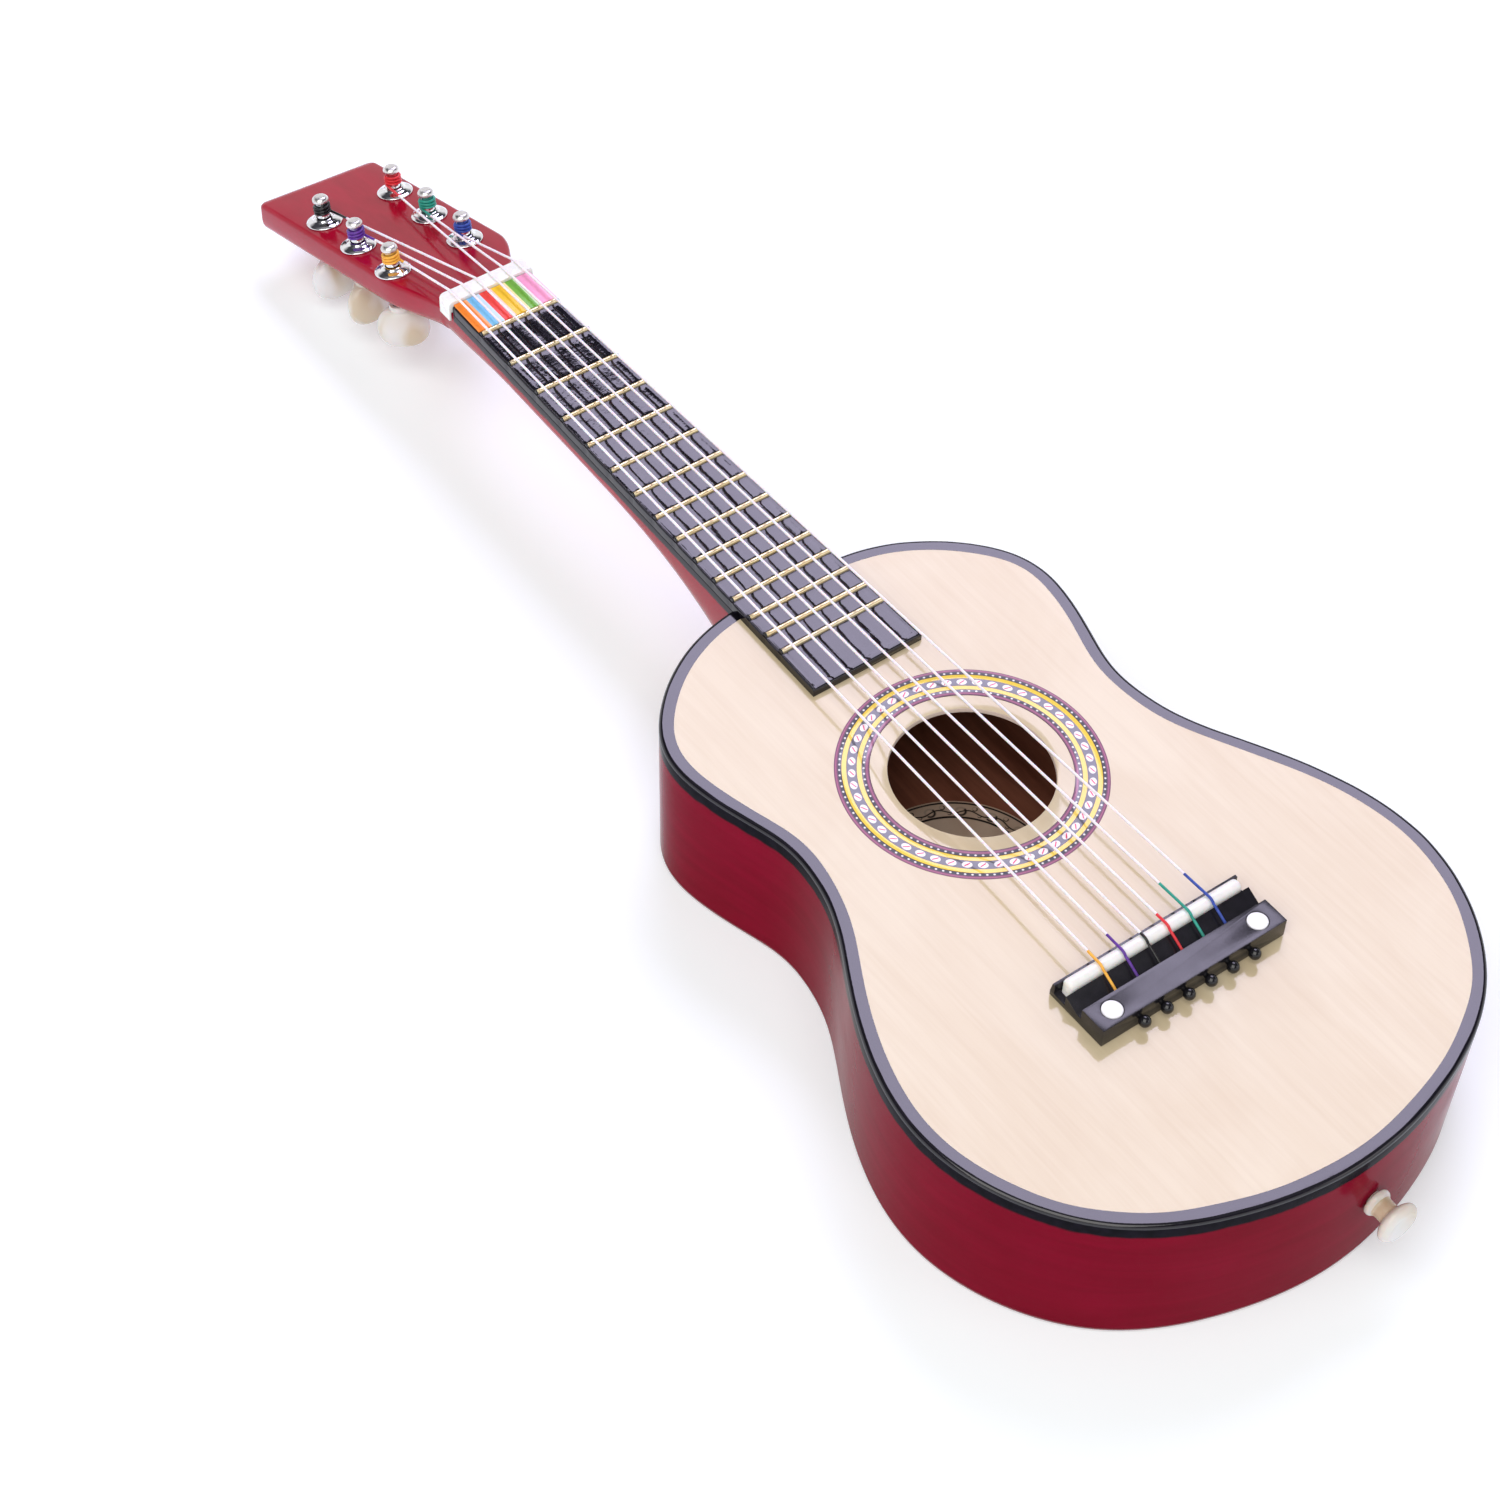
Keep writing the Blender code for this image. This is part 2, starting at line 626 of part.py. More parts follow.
def make_nut():
    """A moulded nut that saddles the neck: a bar across it with a wing down each side."""
    inner = BOARD_WIDTH_NUT / 2 + GAP
    outer = inner + NUT_WING
    low = TOP - NUT_WING_DROP
    high = TOP + NUT_HEIGHT
    nip = NUT_WING / 3
    section = [(-inner, TOP + GAP), (-inner, low), (-outer + nip, low), (-outer, low + nip),
               (-outer, high - NUT_BEVEL), (-outer + 0.3 * NUT_BEVEL, high - 0.3 * NUT_BEVEL),
               (-outer + NUT_BEVEL, high)]
    section += [(-x, z) for x, z in section[::-1]]
    rings = [[(x, place(y), z) for x, z in section] for y in (NUT_FRONT, NUT_BACK)]
    add_object("nut", stack_rings("nut", rings), "white")


def make_colour_strip():
    """Sticker between the nut and the first fret."""
    near = fret_distance(1) + FRET_WIDTH / 2 + GAP
    far = NUT_FRONT - GAP
    outline = []
    for y, side in ((near, -1), (near, 1), (far, 1), (far, -1)):
        outline.append((side * (board_half_width(y) - FRET_INSET), place(y)))
    low = BOARD_TOP + GAP
    add_object("colour_strip", prism("colour_strip", outline, low, low + STICKER_THICKNESS), "sticker")


# ------------------------------------------------------------------ bridge
def string_x(number, spacing):
    return (number - (STRING_COUNT + 1) / 2) * spacing


def make_bridge():
    slot_front = SADDLE_PLACE + SADDLE_WIDTH / 2 + GAP
    slot_back = SADDLE_PLACE - SADDLE_WIDTH / 2 - GAP
    side = [(BRIDGE_FRONT, GAP), (BRIDGE_FRONT, BRIDGE_FLOOR),
            (slot_front + BRIDGE_LIP_WIDTH, BRIDGE_LIP), (slot_front, BRIDGE_LIP),
            (slot_front, BRIDGE_FLOOR), (slot_back, BRIDGE_FLOOR), (slot_back, RAMP_HEIGHT),
            (TIE_BLOCK_FRONT + TROUGH_WIDTH, RAMP_FOOT), (TIE_BLOCK_FRONT, RAMP_FOOT),
            (TIE_BLOCK_FRONT, TIE_BLOCK_HEIGHT), (BRIDGE_BACK, TIE_BLOCK_HEIGHT), (BRIDGE_BACK, GAP)]
    rings = []
    for x in (-BRIDGE_LENGTH / 2, BRIDGE_LENGTH / 2):
        rings.append([(x, place(y), TOP + z) for y, z in side])
    bridge = add_object("bridge", stack_rings("bridge", rings), "black_plastic")
    ends = []
    for number in range(1, STRING_COUNT + 1):
        x = string_x(number, STRING_SPACING_BRIDGE)
        z = TOP + STRING_HOLE_HEIGHT
        ends.append(((x, place(BRIDGE_BACK - TROUGH_WIDTH), z),
                     (x, place(TIE_BLOCK_FRONT + TROUGH_WIDTH), z)))
    cut(bridge, rods("string_hole_cutter", ends, STRING_HOLE_RADIUS, 8))
    cut(bridge, SCREW_CUTTER)
    pocket_low = TIE_BLOCK_HEIGHT - PEARL_THICKNESS - 2 * GAP - SCREW_HEAD_HEIGHT
    ends = []
    for x in (-PEARL_OFFSET, PEARL_OFFSET):
        y = place(PEARL_Y)
        ends.append(((x, y, TOP + pocket_low), (x, y, TOP + 2 * TIE_BLOCK_HEIGHT)))
    cut(bridge, rods("pearl_pocket_cutter", ends, PEARL_RADIUS + GAP, 20))
    return pocket_low


def make_bridge_fittings(pocket_low):
    for label, x in (("bass", -PEARL_OFFSET), ("treble", PEARL_OFFSET)):
        thick = PEARL_THICKNESS
        profile = [(PEARL_RADIUS, 0.0), (PEARL_RADIUS, 0.7 * thick), (0.8 * PEARL_RADIUS, thick)]
        name = "bridge_pearl_" + label
        pearl = add_object(name, turned(name, profile, 20), "pearl")
        pearl.location = (x, place(PEARL_Y), TOP + TIE_BLOCK_HEIGHT - 0.7 * thick)
        name = "bridge_screw_" + label
        shank = pocket_low + PLATE_THICKNESS + BRIDGE_PLATE_THICKNESS + SCREW_PAST_PLATE
        profile = [(0.6 * SCREW_RADIUS, -shank), (SCREW_RADIUS, -shank + SCREW_RADIUS), (SCREW_RADIUS, 0.0),
                   (SCREW_HEAD_RADIUS, 0.0), (SCREW_HEAD_RADIUS, 0.6 * SCREW_HEAD_HEIGHT),
                   (0.7 * SCREW_HEAD_RADIUS, SCREW_HEAD_HEIGHT - GAP)]
        screw = add_object(name, turned(name, profile, 12), "steel")
        screw.location = (x, place(PEARL_Y), TOP + pocket_low + GAP)


def make_saddle():
    """A white bar with a rounded top, standing in the bridge's slot."""
    half = SADDLE_WIDTH / 2
    low = BRIDGE_FLOOR + GAP
    shoulder = SADDLE_HEIGHT - half
    section = [(-half, low), (-half, shoulder)]
    for k in range(1, 6):
        angle = math.pi * k / 6
        section.append((-half * math.cos(angle), shoulder + half * math.sin(angle)))
    section += [(half, shoulder), (half, low)]
    rings = []
    for x in (-SADDLE_LENGTH / 2, SADDLE_LENGTH / 2):
        rings.append([(x, place(SADDLE_PLACE + y), TOP + z) for y, z in section])
    add_object("saddle", stack_rings("saddle", rings), "white")


# ------------------------------------------------------------------ tuning pegs
PEG_AXIS = Vector((0, math.sin(HEAD_ANGLE), math.cos(HEAD_ANGLE)))
PEG_SIDES = (-1, -1, -1, 1, 1, 1)
PEG_ROWS = (0, 1, 2, 2, 1, 0)
PEG_PLACES = []
for peg_side, peg_row in zip(PEG_SIDES, PEG_ROWS):
    PEG_PLACES.append((peg_side * PEG_OFFSET, SCALE_LENGTH + PEG_FIRST + peg_row * PEG_PITCH))


def knob_mesh(name):
    """A paddle-shaped key: a round collar that widens into an oval with a rounded end."""
    steps = 14
    top = -HEAD_DEPTH - 2 * GAP
    socket = PEG_SHAFT_RADIUS + GAP
    rings = []

    def ring(across, through, z):
        points = []
        for k in range(steps):
            angle = 2 * math.pi * k / steps
            points.append((across * math.cos(angle), through * math.sin(angle), z))
        rings.append(points)

    ring(socket, socket, top - KNOB_SOCKET)
    ring(socket, socket, top)
    ring(KNOB_COLLAR_RADIUS, KNOB_COLLAR_RADIUS, top)
    ring(KNOB_COLLAR_RADIUS, KNOB_COLLAR_RADIUS, top - KNOB_COLLAR_HEIGHT + GAP)
    paddle_height = KNOB_HEIGHT - KNOB_COLLAR_HEIGHT
    paddle_steps = 9
    for k in range(1, paddle_steps):
        angle = math.pi * k / paddle_steps
        swell = math.sin(angle) ** 0.62
        smallest = KNOB_COLLAR_RADIUS if k == 1 else KNOB_COLLAR_RADIUS / 3
        through = max(KNOB_THICKNESS / 2 * swell, smallest)
        across = max(KNOB_WIDTH / 2 * swell, smallest)
        ring(across, through, top - KNOB_COLLAR_HEIGHT - paddle_height * (1 - math.cos(angle)) / 2)
    ring(0.09 * KNOB_WIDTH, 0.06 * KNOB_THICKNESS, top - KNOB_HEIGHT)
    return stack_rings(name, rings)


def make_pegs():
    for number, (x, y) in enumerate(PEG_PLACES, start=1):
        axis = bpy.data.objects.new("peg_axis_%d" % number, None)
        bpy.context.collection.objects.link(axis)
        axis.location = (x, place(y), head_face(y))
        axis.rotation_euler = (-HEAD_ANGLE, 0, 0)

        low = -HEAD_DEPTH - 2 * GAP - KNOB_SOCKET + GAP
        neckline = FERRULE_HEIGHT + GAP
        cap_low = PEG_HEIGHT - PEG_CAP_HEIGHT
        nip = 0.15 * PEG_CAP_RADIUS
        profile = [(PEG_SHAFT_RADIUS, low), (PEG_SHAFT_RADIUS, neckline),
                   (PEG_WAIST_RADIUS, neckline + nip), (PEG_WAIST_RADIUS, cap_low),
                   (PEG_CAP_RADIUS, cap_low + nip), (PEG_CAP_RADIUS, PEG_HEIGHT - nip),
                   (PEG_CAP_RADIUS - nip, PEG_HEIGHT), (0.45 * PEG_CAP_RADIUS, PEG_HEIGHT - nip / 2)]
        post_name = "tuner_post_%d" % number
        post = add_object(post_name, turned(post_name, profile, 14), "chrome")
        post.parent = axis

        knob_name = "tuner_knob_%d" % number
        knob = add_object(knob_name, knob_mesh(knob_name), "ivory", 50)
        knob.parent = axis
        knob.rotation_euler = (0, 0, math.radians(KNOB_ANGLES[number - 1]))

        bore = PEG_SHAFT_RADIUS + RUNNING_GAP
        high = FERRULE_HEIGHT
        ring = [(bore, GAP), (FERRULE_RADIUS, GAP), (FERRULE_RADIUS, 0.38 * high),
                (0.82 * FERRULE_RADIUS, 0.67 * high), (0.60 * FERRULE_RADIUS, 0.58 * high),
                (0.52 * FERRULE_RADIUS, high), (bore, high)]
        ferrule_name = "tuner_ferrule_%d" % number
        ferrule = add_object(ferrule_name, turned_ring(ferrule_name, ring, 18), "chrome")
        ferrule.parent = axis


# ------------------------------------------------------------------ strings
def string_route(number):
    """(point, thickness factor) pairs from the ball end over saddle and nut to the peg's winding."""
    x_low = string_x(number, STRING_SPACING_BRIDGE)
    x_high = string_x(number, STRING_SPACING_NUT)
    hole_z = TOP + STRING_HOLE_HEIGHT
    ball_y = BRIDGE_BACK - GAP - BALL_RADIUS
    ball = BALL_RADIUS / STRING_RADIUS
    route = []
    for angle in (165, 135, 90, 45, 20):
        turn = math.radians(angle)
        centre = Vector((x_low, place(ball_y + BALL_RADIUS * math.cos(turn)), hole_z))
        route.append((centre, max(ball * math.sin(turn), 1.0)))
    lift = STRING_RADIUS + GAP
    crest = TOP + SADDLE_HEIGHT + lift
    crown = SADDLE_WIDTH * 0.22
    drop = 0.1 * SADDLE_HEIGHT
    for y, z in ((BRIDGE_BACK + 2 * GAP, hole_z), (TIE_BLOCK_FRONT, hole_z),
                 (SADDLE_PLACE - 2 * crown, crest - drop), (SADDLE_PLACE - crown, crest - 0.1 * drop),
                 (SADDLE_PLACE + crown, crest)):
        route.append((Vector((x_low, place(y), z)), 1.0))
    over_nut = TOP + NUT_HEIGHT + lift
    route.append((Vector((x_high, place(NUT_FRONT), over_nut)), 1.0))
    route.append((Vector((x_high, place(NUT_FRONT + 0.6 * NUT_WIDTH), over_nut)), 1.0))

    # the winding: turns round the peg's waist, entered on the inner side
    x, y = PEG_PLACES[number - 1]
    side = PEG_SIDES[number - 1]
    base = Vector((x, place(y), head_face(y)))
    along = Vector((0, math.cos(HEAD_ANGLE), -math.sin(HEAD_ANGLE)))
    radius = PEG_WAIST_RADIUS + GAP + STRING_RADIUS
    route.append((Vector((x_high, place(NUT_BACK), over_nut - GAP)), 1.0))
    steps = WINDING_TURNS * WINDING_STEPS
    for k in range(steps + 1):
        angle = 2 * math.pi * k / WINDING_STEPS
        height = WINDING_START + WINDING_PITCH * k / WINDING_STEPS
        point = base + PEG_AXIS * height
        point = point + Vector((-side * radius * math.cos(angle), 0, 0)) + along * radius * math.sin(angle)
        route.append((point, 1.0))
    return route


def make_strings():
    for number in range(1, STRING_COUNT + 1):
        name = "string_%d" % number
        route = string_route(number)
        curve = bpy.data.curves.new(name, "CURVE")
        curve.dimensions = "3D"
        curve.bevel_depth = STRING_RADIUS
        curve.bevel_resolution = 2
        curve.use_fill_caps = True
        line = curve.splines.new("POLY")
        line.points.add(len(route) - 1)
        for point, (place_at, factor) in zip(line.points, route):
            point.co = (*place_at, 1.0)
            point.radius = factor
        line.use_smooth = True
        curve.materials.append(FINISHES["nylon"])
        string = bpy.data.objects.new(name, curve)
        bpy.context.collection.objects.link(string)


# ------------------------------------------------------------------ strap button
def make_strap_button():
    """An end pin pressed into the tail block, turned about the guitar's long axis."""
    shank = BUTTON_SHANK_LENGTH - BUTTON_HOLE_RADIUS
    cap_low = BUTTON_LENGTH - BUTTON_CAP_THICKNESS
    flange = 0.15 * BUTTON_LENGTH
    nip = 0.3 * BUTTON_CAP_THICKNESS
    profile = [(0.8 * BUTTON_HOLE_RADIUS, -shank), (BUTTON_HOLE_RADIUS, -shank + BUTTON_HOLE_RADIUS / 3),
               (BUTTON_HOLE_RADIUS, GAP), (BUTTON_FLANGE_RADIUS, GAP),
               (BUTTON_FLANGE_RADIUS, flange), (BUTTON_NECK_RADIUS, 1.7 * flange),
               (BUTTON_NECK_RADIUS, cap_low - nip), (0.80 * BUTTON_RADIUS, cap_low),
               (BUTTON_RADIUS, cap_low + nip), (BUTTON_RADIUS, BUTTON_LENGTH - nip),
               (0.85 * BUTTON_RADIUS, BUTTON_LENGTH - GAP), (0.68 * BUTTON_RADIUS, BUTTON_LENGTH)]
    button = add_object("strap_button", turned("strap_button", profile, 24), "ivory")
    button.location = (BUTTON_OFFSET, BUTTON_Y, BUTTON_Z)
    button.rotation_euler = (math.pi / 2, 0, 0)


make_body()
make_inside()
make_rosette()
make_neck()
make_fingerboard()
make_frets()
make_nut()
make_colour_strip()
make_bridge_fittings(make_bridge())
make_saddle()
make_pegs()
make_strings()
make_strap_button()
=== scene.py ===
"""Looks of the toy guitar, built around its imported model. Metres, +Z up, +Y along the neck."""

import json
import math

import bmesh
import bpy
import numpy as np
from mathutils import Matrix, Vector


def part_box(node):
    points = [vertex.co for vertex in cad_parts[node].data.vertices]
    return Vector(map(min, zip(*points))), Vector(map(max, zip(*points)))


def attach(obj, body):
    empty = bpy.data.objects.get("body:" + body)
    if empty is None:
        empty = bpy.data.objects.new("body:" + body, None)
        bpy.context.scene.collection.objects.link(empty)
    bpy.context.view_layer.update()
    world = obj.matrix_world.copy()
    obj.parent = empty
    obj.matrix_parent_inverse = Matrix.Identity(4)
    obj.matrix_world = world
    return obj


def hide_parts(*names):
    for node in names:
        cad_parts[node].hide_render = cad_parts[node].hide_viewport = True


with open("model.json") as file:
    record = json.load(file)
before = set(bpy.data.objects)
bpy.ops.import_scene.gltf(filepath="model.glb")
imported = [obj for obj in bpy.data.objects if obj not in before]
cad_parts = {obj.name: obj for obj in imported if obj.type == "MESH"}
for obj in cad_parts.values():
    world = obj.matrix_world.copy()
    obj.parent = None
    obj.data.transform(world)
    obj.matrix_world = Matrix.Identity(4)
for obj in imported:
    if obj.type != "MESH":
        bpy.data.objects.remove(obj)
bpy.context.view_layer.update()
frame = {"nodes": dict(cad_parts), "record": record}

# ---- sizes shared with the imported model
NUT_FRONT = 0.3628
NUT_BACK = 0.3695
SCALE_LENGTH = 0.364
BODY_END = 0.182
BOARD_END = 0.133
BOARD_WIDTH_NUT = 0.0348
BOARD_WIDTH_END = 0.0462
BODY_TAPER = 0.001
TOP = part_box("soundboard")[1][2]
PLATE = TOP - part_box("soundboard")[0][2]
SOUND_HOLE = 0.0279
ROSETTE_INNER = 0.0338
ROSETTE_OUTER = 0.0455
LABEL_RADIUS = 0.036
BACK_TOP = 0.0022
FRET_COUNT = 15
NECK_DEPTH = 0.0125
NECK_EDGE = 0.0006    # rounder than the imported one, 0.0004
HEEL_DEPTH = 0.038
HEEL_LENGTH = 0.09
HEEL_CURVE = 2.6
NECK_TO_HEAD = 0.045
HEAD_DEPTH = 0.0138
HEAD_WIDTH = 0.0518
HEAD_SKEW = 0.0625
HEAD_FLARE = 0.034
HEAD_ANGLE = math.radians(12.4)
HEAD_STEP = 0.0027
HEAD_EDGE = 0.0018
HEAD_CORNER = 0.004
HEAD_TIP = 0.489
HEAD_PIVOT = 0.454
PROFILE_POWER = 3.5
HEAD_POWER = 6
BRIDGE_BACK = -0.0328
TIE_BLOCK_FRONT = -0.0226
SADDLE_PLACE = -0.0125
SADDLE_WIDTH = 0.0046
SADDLE_HEIGHT = 0.009
STRING_RADIUS = 0.00048
STRING_HOLE_HEIGHT = 0.0043
BALL_RADIUS = 0.0021
STRING_SPACING_NUT = 0.00585
STRING_SPACING_BRIDGE = 0.0091
NUT_HEIGHT = 0.0052
WINDING_START = 0.004
WINDING_PITCH = 0.00125
WINDING_TURNS = 3
PEG_WAIST = 0.0023
PEG_CAP = 0.00325
PEG_CAP_HEIGHT = 0.0026
PEG_SHAFT = 0.0025
PEG_HEIGHT = 0.0115
FERRULE_RADIUS = 0.00715
FERRULE_HEIGHT = 0.0026
KNOB_WIDTH = 0.0204
KNOB_THICKNESS = 0.0098
KNOB_HEIGHT = 0.0186
COLLAR_RADIUS = 0.0042
COLLAR_HEIGHT = 0.0016
KNOB_SOCKET = 0.007
BUTTON_LENGTH = 0.0125
BUTTON_NECK = 0.0037
BUTTON_SHANK = 0.003
KNOB_ANGLES = (-34, 11, 0, -20, 48, 25)
GAP = 0.0003
ORIGIN_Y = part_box("nut")[0][1] - NUT_FRONT
HOLE_Y = (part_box("rosette")[0][1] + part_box("rosette")[1][1]) / 2


def place(y):
    """A distance from the end of the scale, as a world coordinate."""
    return y + ORIGIN_Y


def ease(share):
    share = min(max(share, 0.0), 1.0)
    return share * share * (3 - 2 * share)


def quarter(steps):
    """Sine and cosine pairs over a quarter turn."""
    turns = [math.pi / 2 * k / steps for k in range(steps + 1)]
    return [(math.sin(turn), math.cos(turn)) for turn in turns]


def board_half_width(y):
    """Half the fingerboard's width at a distance along the scale."""
    share = (y - BOARD_END) / (SCALE_LENGTH - BOARD_END)
    return (BOARD_WIDTH_END + share * (BOARD_WIDTH_NUT - BOARD_WIDTH_END)) / 2


# ---- camera, floor and light
def link(name, data):
    """A new object in the scene."""
    thing = bpy.data.objects.new(name, data)
    bpy.context.collection.objects.link(thing)
    return thing


def make_camera():
    data = bpy.data.cameras.new("camera")
    data.sensor_width = 36.0
    data.lens = 79.18
    data.clip_start = 0.05
    data.clip_end = 50.0
    camera = link("camera", data)
    right = Vector((0.80504, -0.5925, 0.02923))
    up = Vector((0.43054, 0.61745, 0.65833))
    back = Vector((-0.40811, -0.5174, 0.75216))
    turn = Matrix((right, up, back)).transposed()
    camera.matrix_world = Matrix.Translation((-0.49765, -0.61951, 0.87705)) @ turn.to_4x4()
    bpy.context.scene.camera = camera


def area_light(name, location, target, width, height, radiance, colour):
    """A soft box of a given radiance."""
    data = bpy.data.lights.new(name, "AREA")
    data.shape = "RECTANGLE"
    data.size = width
    data.size_y = height
    data.energy = radiance * math.pi * width * height
    data.color = colour
    light = link(name, data)
    light.location = location
    direction = Vector(target) - light.location
    light.rotation_euler = direction.to_track_quat("-Z", "Y").to_euler()


def make_lights():
    centre = (0.0, -0.05, 0.03)
    area_light("key", (0.95, 0.86, 1.6), (0.95, 0.861, 0.0), 1.05, 1.32, 6.4, (0.8, 0.74, 1.0))
    area_light("fill", (-1.2, -0.8, 2.0), centre, 2.2, 2.2, 3.0, (1.0, 0.985, 0.94))
    area_light("side", (1.2, -1.9, 1.3), centre, 1.0, 1.0, 1.3, (1.0, 0.98, 0.97))


def make_world():
    """White low down, then a dark band that the lacquer mirrors, then a dim ceiling."""
    world = bpy.data.worlds.new("studio")
    bpy.context.scene.world = world
    world.use_nodes = True
    tree = world.node_tree
    background = tree.nodes["Background"]
    place_in = tree.nodes.new("ShaderNodeTexCoord")
    split = tree.nodes.new("ShaderNodeSeparateXYZ")
    ramp = tree.nodes.new("ShaderNodeValToRGB")
    tree.links.new(place_in.outputs["Generated"], split.inputs[0])
    tree.links.new(split.outputs["Z"], ramp.inputs["Fac"])
    tree.links.new(ramp.outputs["Color"], background.inputs["Color"])
    dark = (0.06, 0.06, 0.07)
    stops = ((0.0, (1.0, 1.0, 1.0)), (0.36, (1.0, 0.99, 1.0)), (0.52, dark), (0.7, dark),
             (1.0, (0.35, 0.35, 0.37)))
    elements = ramp.color_ramp.elements
    while len(elements) < len(stops):
        elements.new(0.5)
    for element, (position, colour) in zip(elements, stops):
        element.position = position
        element.color = (*colour, 1.0)
    background.inputs["Strength"].default_value = 1.0
    bpy.context.scene.view_settings.view_transform = "Standard"


def make_floor():
    half = 7.0
    level = -0.0002
    corners = [(x * half, y * half, level) for x, y in ((-1, -1), (1, -1), (1, 1), (-1, 1))]
    mesh = bpy.data.meshes.new("floor")
    mesh.from_pydata(corners, [], [(0, 1, 2, 3)])
    floor = link("floor", mesh)
    net = Net("floor_white", Roughness=0.8, Specular_IOR_Level=0.1, Emission_Strength=0.24)
    net.shader.inputs["Emission Color"].default_value = (0.97, 0.97, 1.0, 1.0)
    net.colour(net.mottled((0.8, 0.86, 0.88), (0.82, 0.88, 0.9), 3.0, 2))
    mesh.materials.append(net.material)


# ---- material helper
class Net:
    """The node tree of one material, around its principled shader."""

    def __init__(self, name, **values):
        self.material = bpy.data.materials.new(name)
        self.material.use_nodes = True
        self.tree = self.material.node_tree
        self.shader = next(n for n in self.tree.nodes if n.type == "BSDF_PRINCIPLED")
        for key, value in values.items():
            self.shader.inputs[key.replace("_", " ")].default_value = value
        self.place = self.tree.nodes.new("ShaderNodeTexCoord").outputs["Object"]

    def feed(self, socket, value):
        if hasattr(value, "is_linked"):
            self.tree.links.new(value, socket)
        elif isinstance(value, tuple) and len(value) == 3 and socket.type == "RGBA":
            socket.default_value = (*value, 1.0)
        else:
            socket.default_value = value

    def math(self, operation, *values, clamp=False):
        node = self.tree.nodes.new("ShaderNodeMath")
        node.operation = operation
        node.use_clamp = clamp
        for socket, value in zip(node.inputs, values):
            self.feed(socket, value)
        return node.outputs[0]

    def plus(self, first, second):
        return self.math("ADD", first, second)

    def minus(self, first, second, clamp=False):
        return self.math("SUBTRACT", first, second, clamp=clamp)

    def times(self, first, second):
        return self.math("MULTIPLY", first, second)

    def xyz(self, vector=None):
        node = self.tree.nodes.new("ShaderNodeSeparateXYZ")
        self.feed(node.inputs[0], vector or self.place)
        return node.outputs

    def stretched(self, stretch):
        node = self.tree.nodes.new("ShaderNodeMapping")
        self.feed(node.inputs["Vector"], self.place)
        node.inputs["Scale"].default_value = stretch
        return node.outputs[0]

    def noise(self, scale, detail=3.0, roughness=0.5, stretch=None, distortion=0.0):
        node = self.tree.nodes.new("ShaderNodeTexNoise")
        self.feed(node.inputs["Vector"], self.stretched(stretch) if stretch else self.place)
        node.inputs["Scale"].default_value = scale
        node.inputs["Detail"].default_value = detail
        node.inputs["Roughness"].default_value = roughness
        node.inputs["Distortion"].default_value = distortion
        return node.outputs[0]

    def cells(self, scale):
        """A different random vector in each cell."""
        node = self.tree.nodes.new("ShaderNodeTexVoronoi")
        self.feed(node.inputs["Vector"], self.place)
        node.inputs["Scale"].default_value = scale
        return node.outputs["Color"]

    def ramp(self, factor, stops, constant=False):
        node = self.tree.nodes.new("ShaderNodeValToRGB")
        self.feed(node.inputs[0], factor)
        elements = node.color_ramp.elements
        if constant:
            node.color_ramp.interpolation = "CONSTANT"
        while len(elements) < len(stops):
            elements.new(0.5)
        for element, (position, colour) in zip(elements, stops):
            element.position = position
            element.color = (*colour, 1.0)
        return node.outputs[0]

    def grade(self, value, low, high, out_low=0.0, out_high=1.0):
        """Maps low…high onto out_low…out_high, held at both ends."""
        node = self.tree.nodes.new("ShaderNodeMapRange")
        for index, number in enumerate((value, low, high, out_low, out_high)):
            self.feed(node.inputs[index], number)
        return node.outputs[0]

    def mottled(self, low, high, scale, detail=3, *more):
        """Noise between two colours."""
        return self.ramp(self.noise(scale, detail, *more), [(0.3, low), (0.7, high)])

    def mix(self, factor, first, second, blend="MIX"):
        node = self.tree.nodes.new("ShaderNodeMix")
        node.data_type = "RGBA"
        node.blend_type = blend
        self.feed(node.inputs[0], factor)
        self.feed(node.inputs[6], first)
        self.feed(node.inputs[7], second)
        return node.outputs[2]

    def colour(self, source):
        self.feed(self.shader.inputs["Base Color"], source)

    def rough(self, low, high, scale, detail=2, *more):
        """Noise between two roughnesses."""
        noise = self.noise(scale, detail, *more)
        self.feed(self.shader.inputs["Roughness"], self.grade(noise, 0.3, 0.7, low, high))

    def bump(self, height, distance, strength):
        node = self.tree.nodes.new("ShaderNodeBump")
        node.inputs["Strength"].default_value = strength
        node.inputs["Distance"].default_value = distance
        self.feed(node.inputs["Height"], height)
        self.tree.links.new(node.outputs[0], self.shader.inputs["Normal"])

    def length(self, u, v):
        return self.math("SQRT", self.plus(self.times(u, u), self.times(v, v)))

    def around(self):
        """Distance in millimetres and turn (0 to 1) about the middle of the sound hole."""
        x, y, _ = self.xyz()
        dy = self.minus(y, HOLE_Y)
        reach = self.length(x, dy)
        turn = self.math("DIVIDE", self.math("ARCTAN2", dy, x), 2 * math.pi)
        return self.times(reach, 1000.0), self.plus(turn, 0.5)

    def spots(self, reach, turn, count, radius, half_around, half_across, soft=0.12):
        """1 inside each of a ring of ovals, in millimetres, and where it is in its cell."""
        cell = self.minus(self.math("FRACT", self.times(turn, float(count))), 0.5)
        along = self.times(cell, 2 * math.pi * radius / count)
        across = self.minus(reach, radius)
        u = self.math("DIVIDE", along, half_around)
        v = self.math("DIVIDE", across, half_across)
        return self.grade(self.length(u, v), 1.0 - soft, 1.0 + soft, 1.0, 0.0), along, across


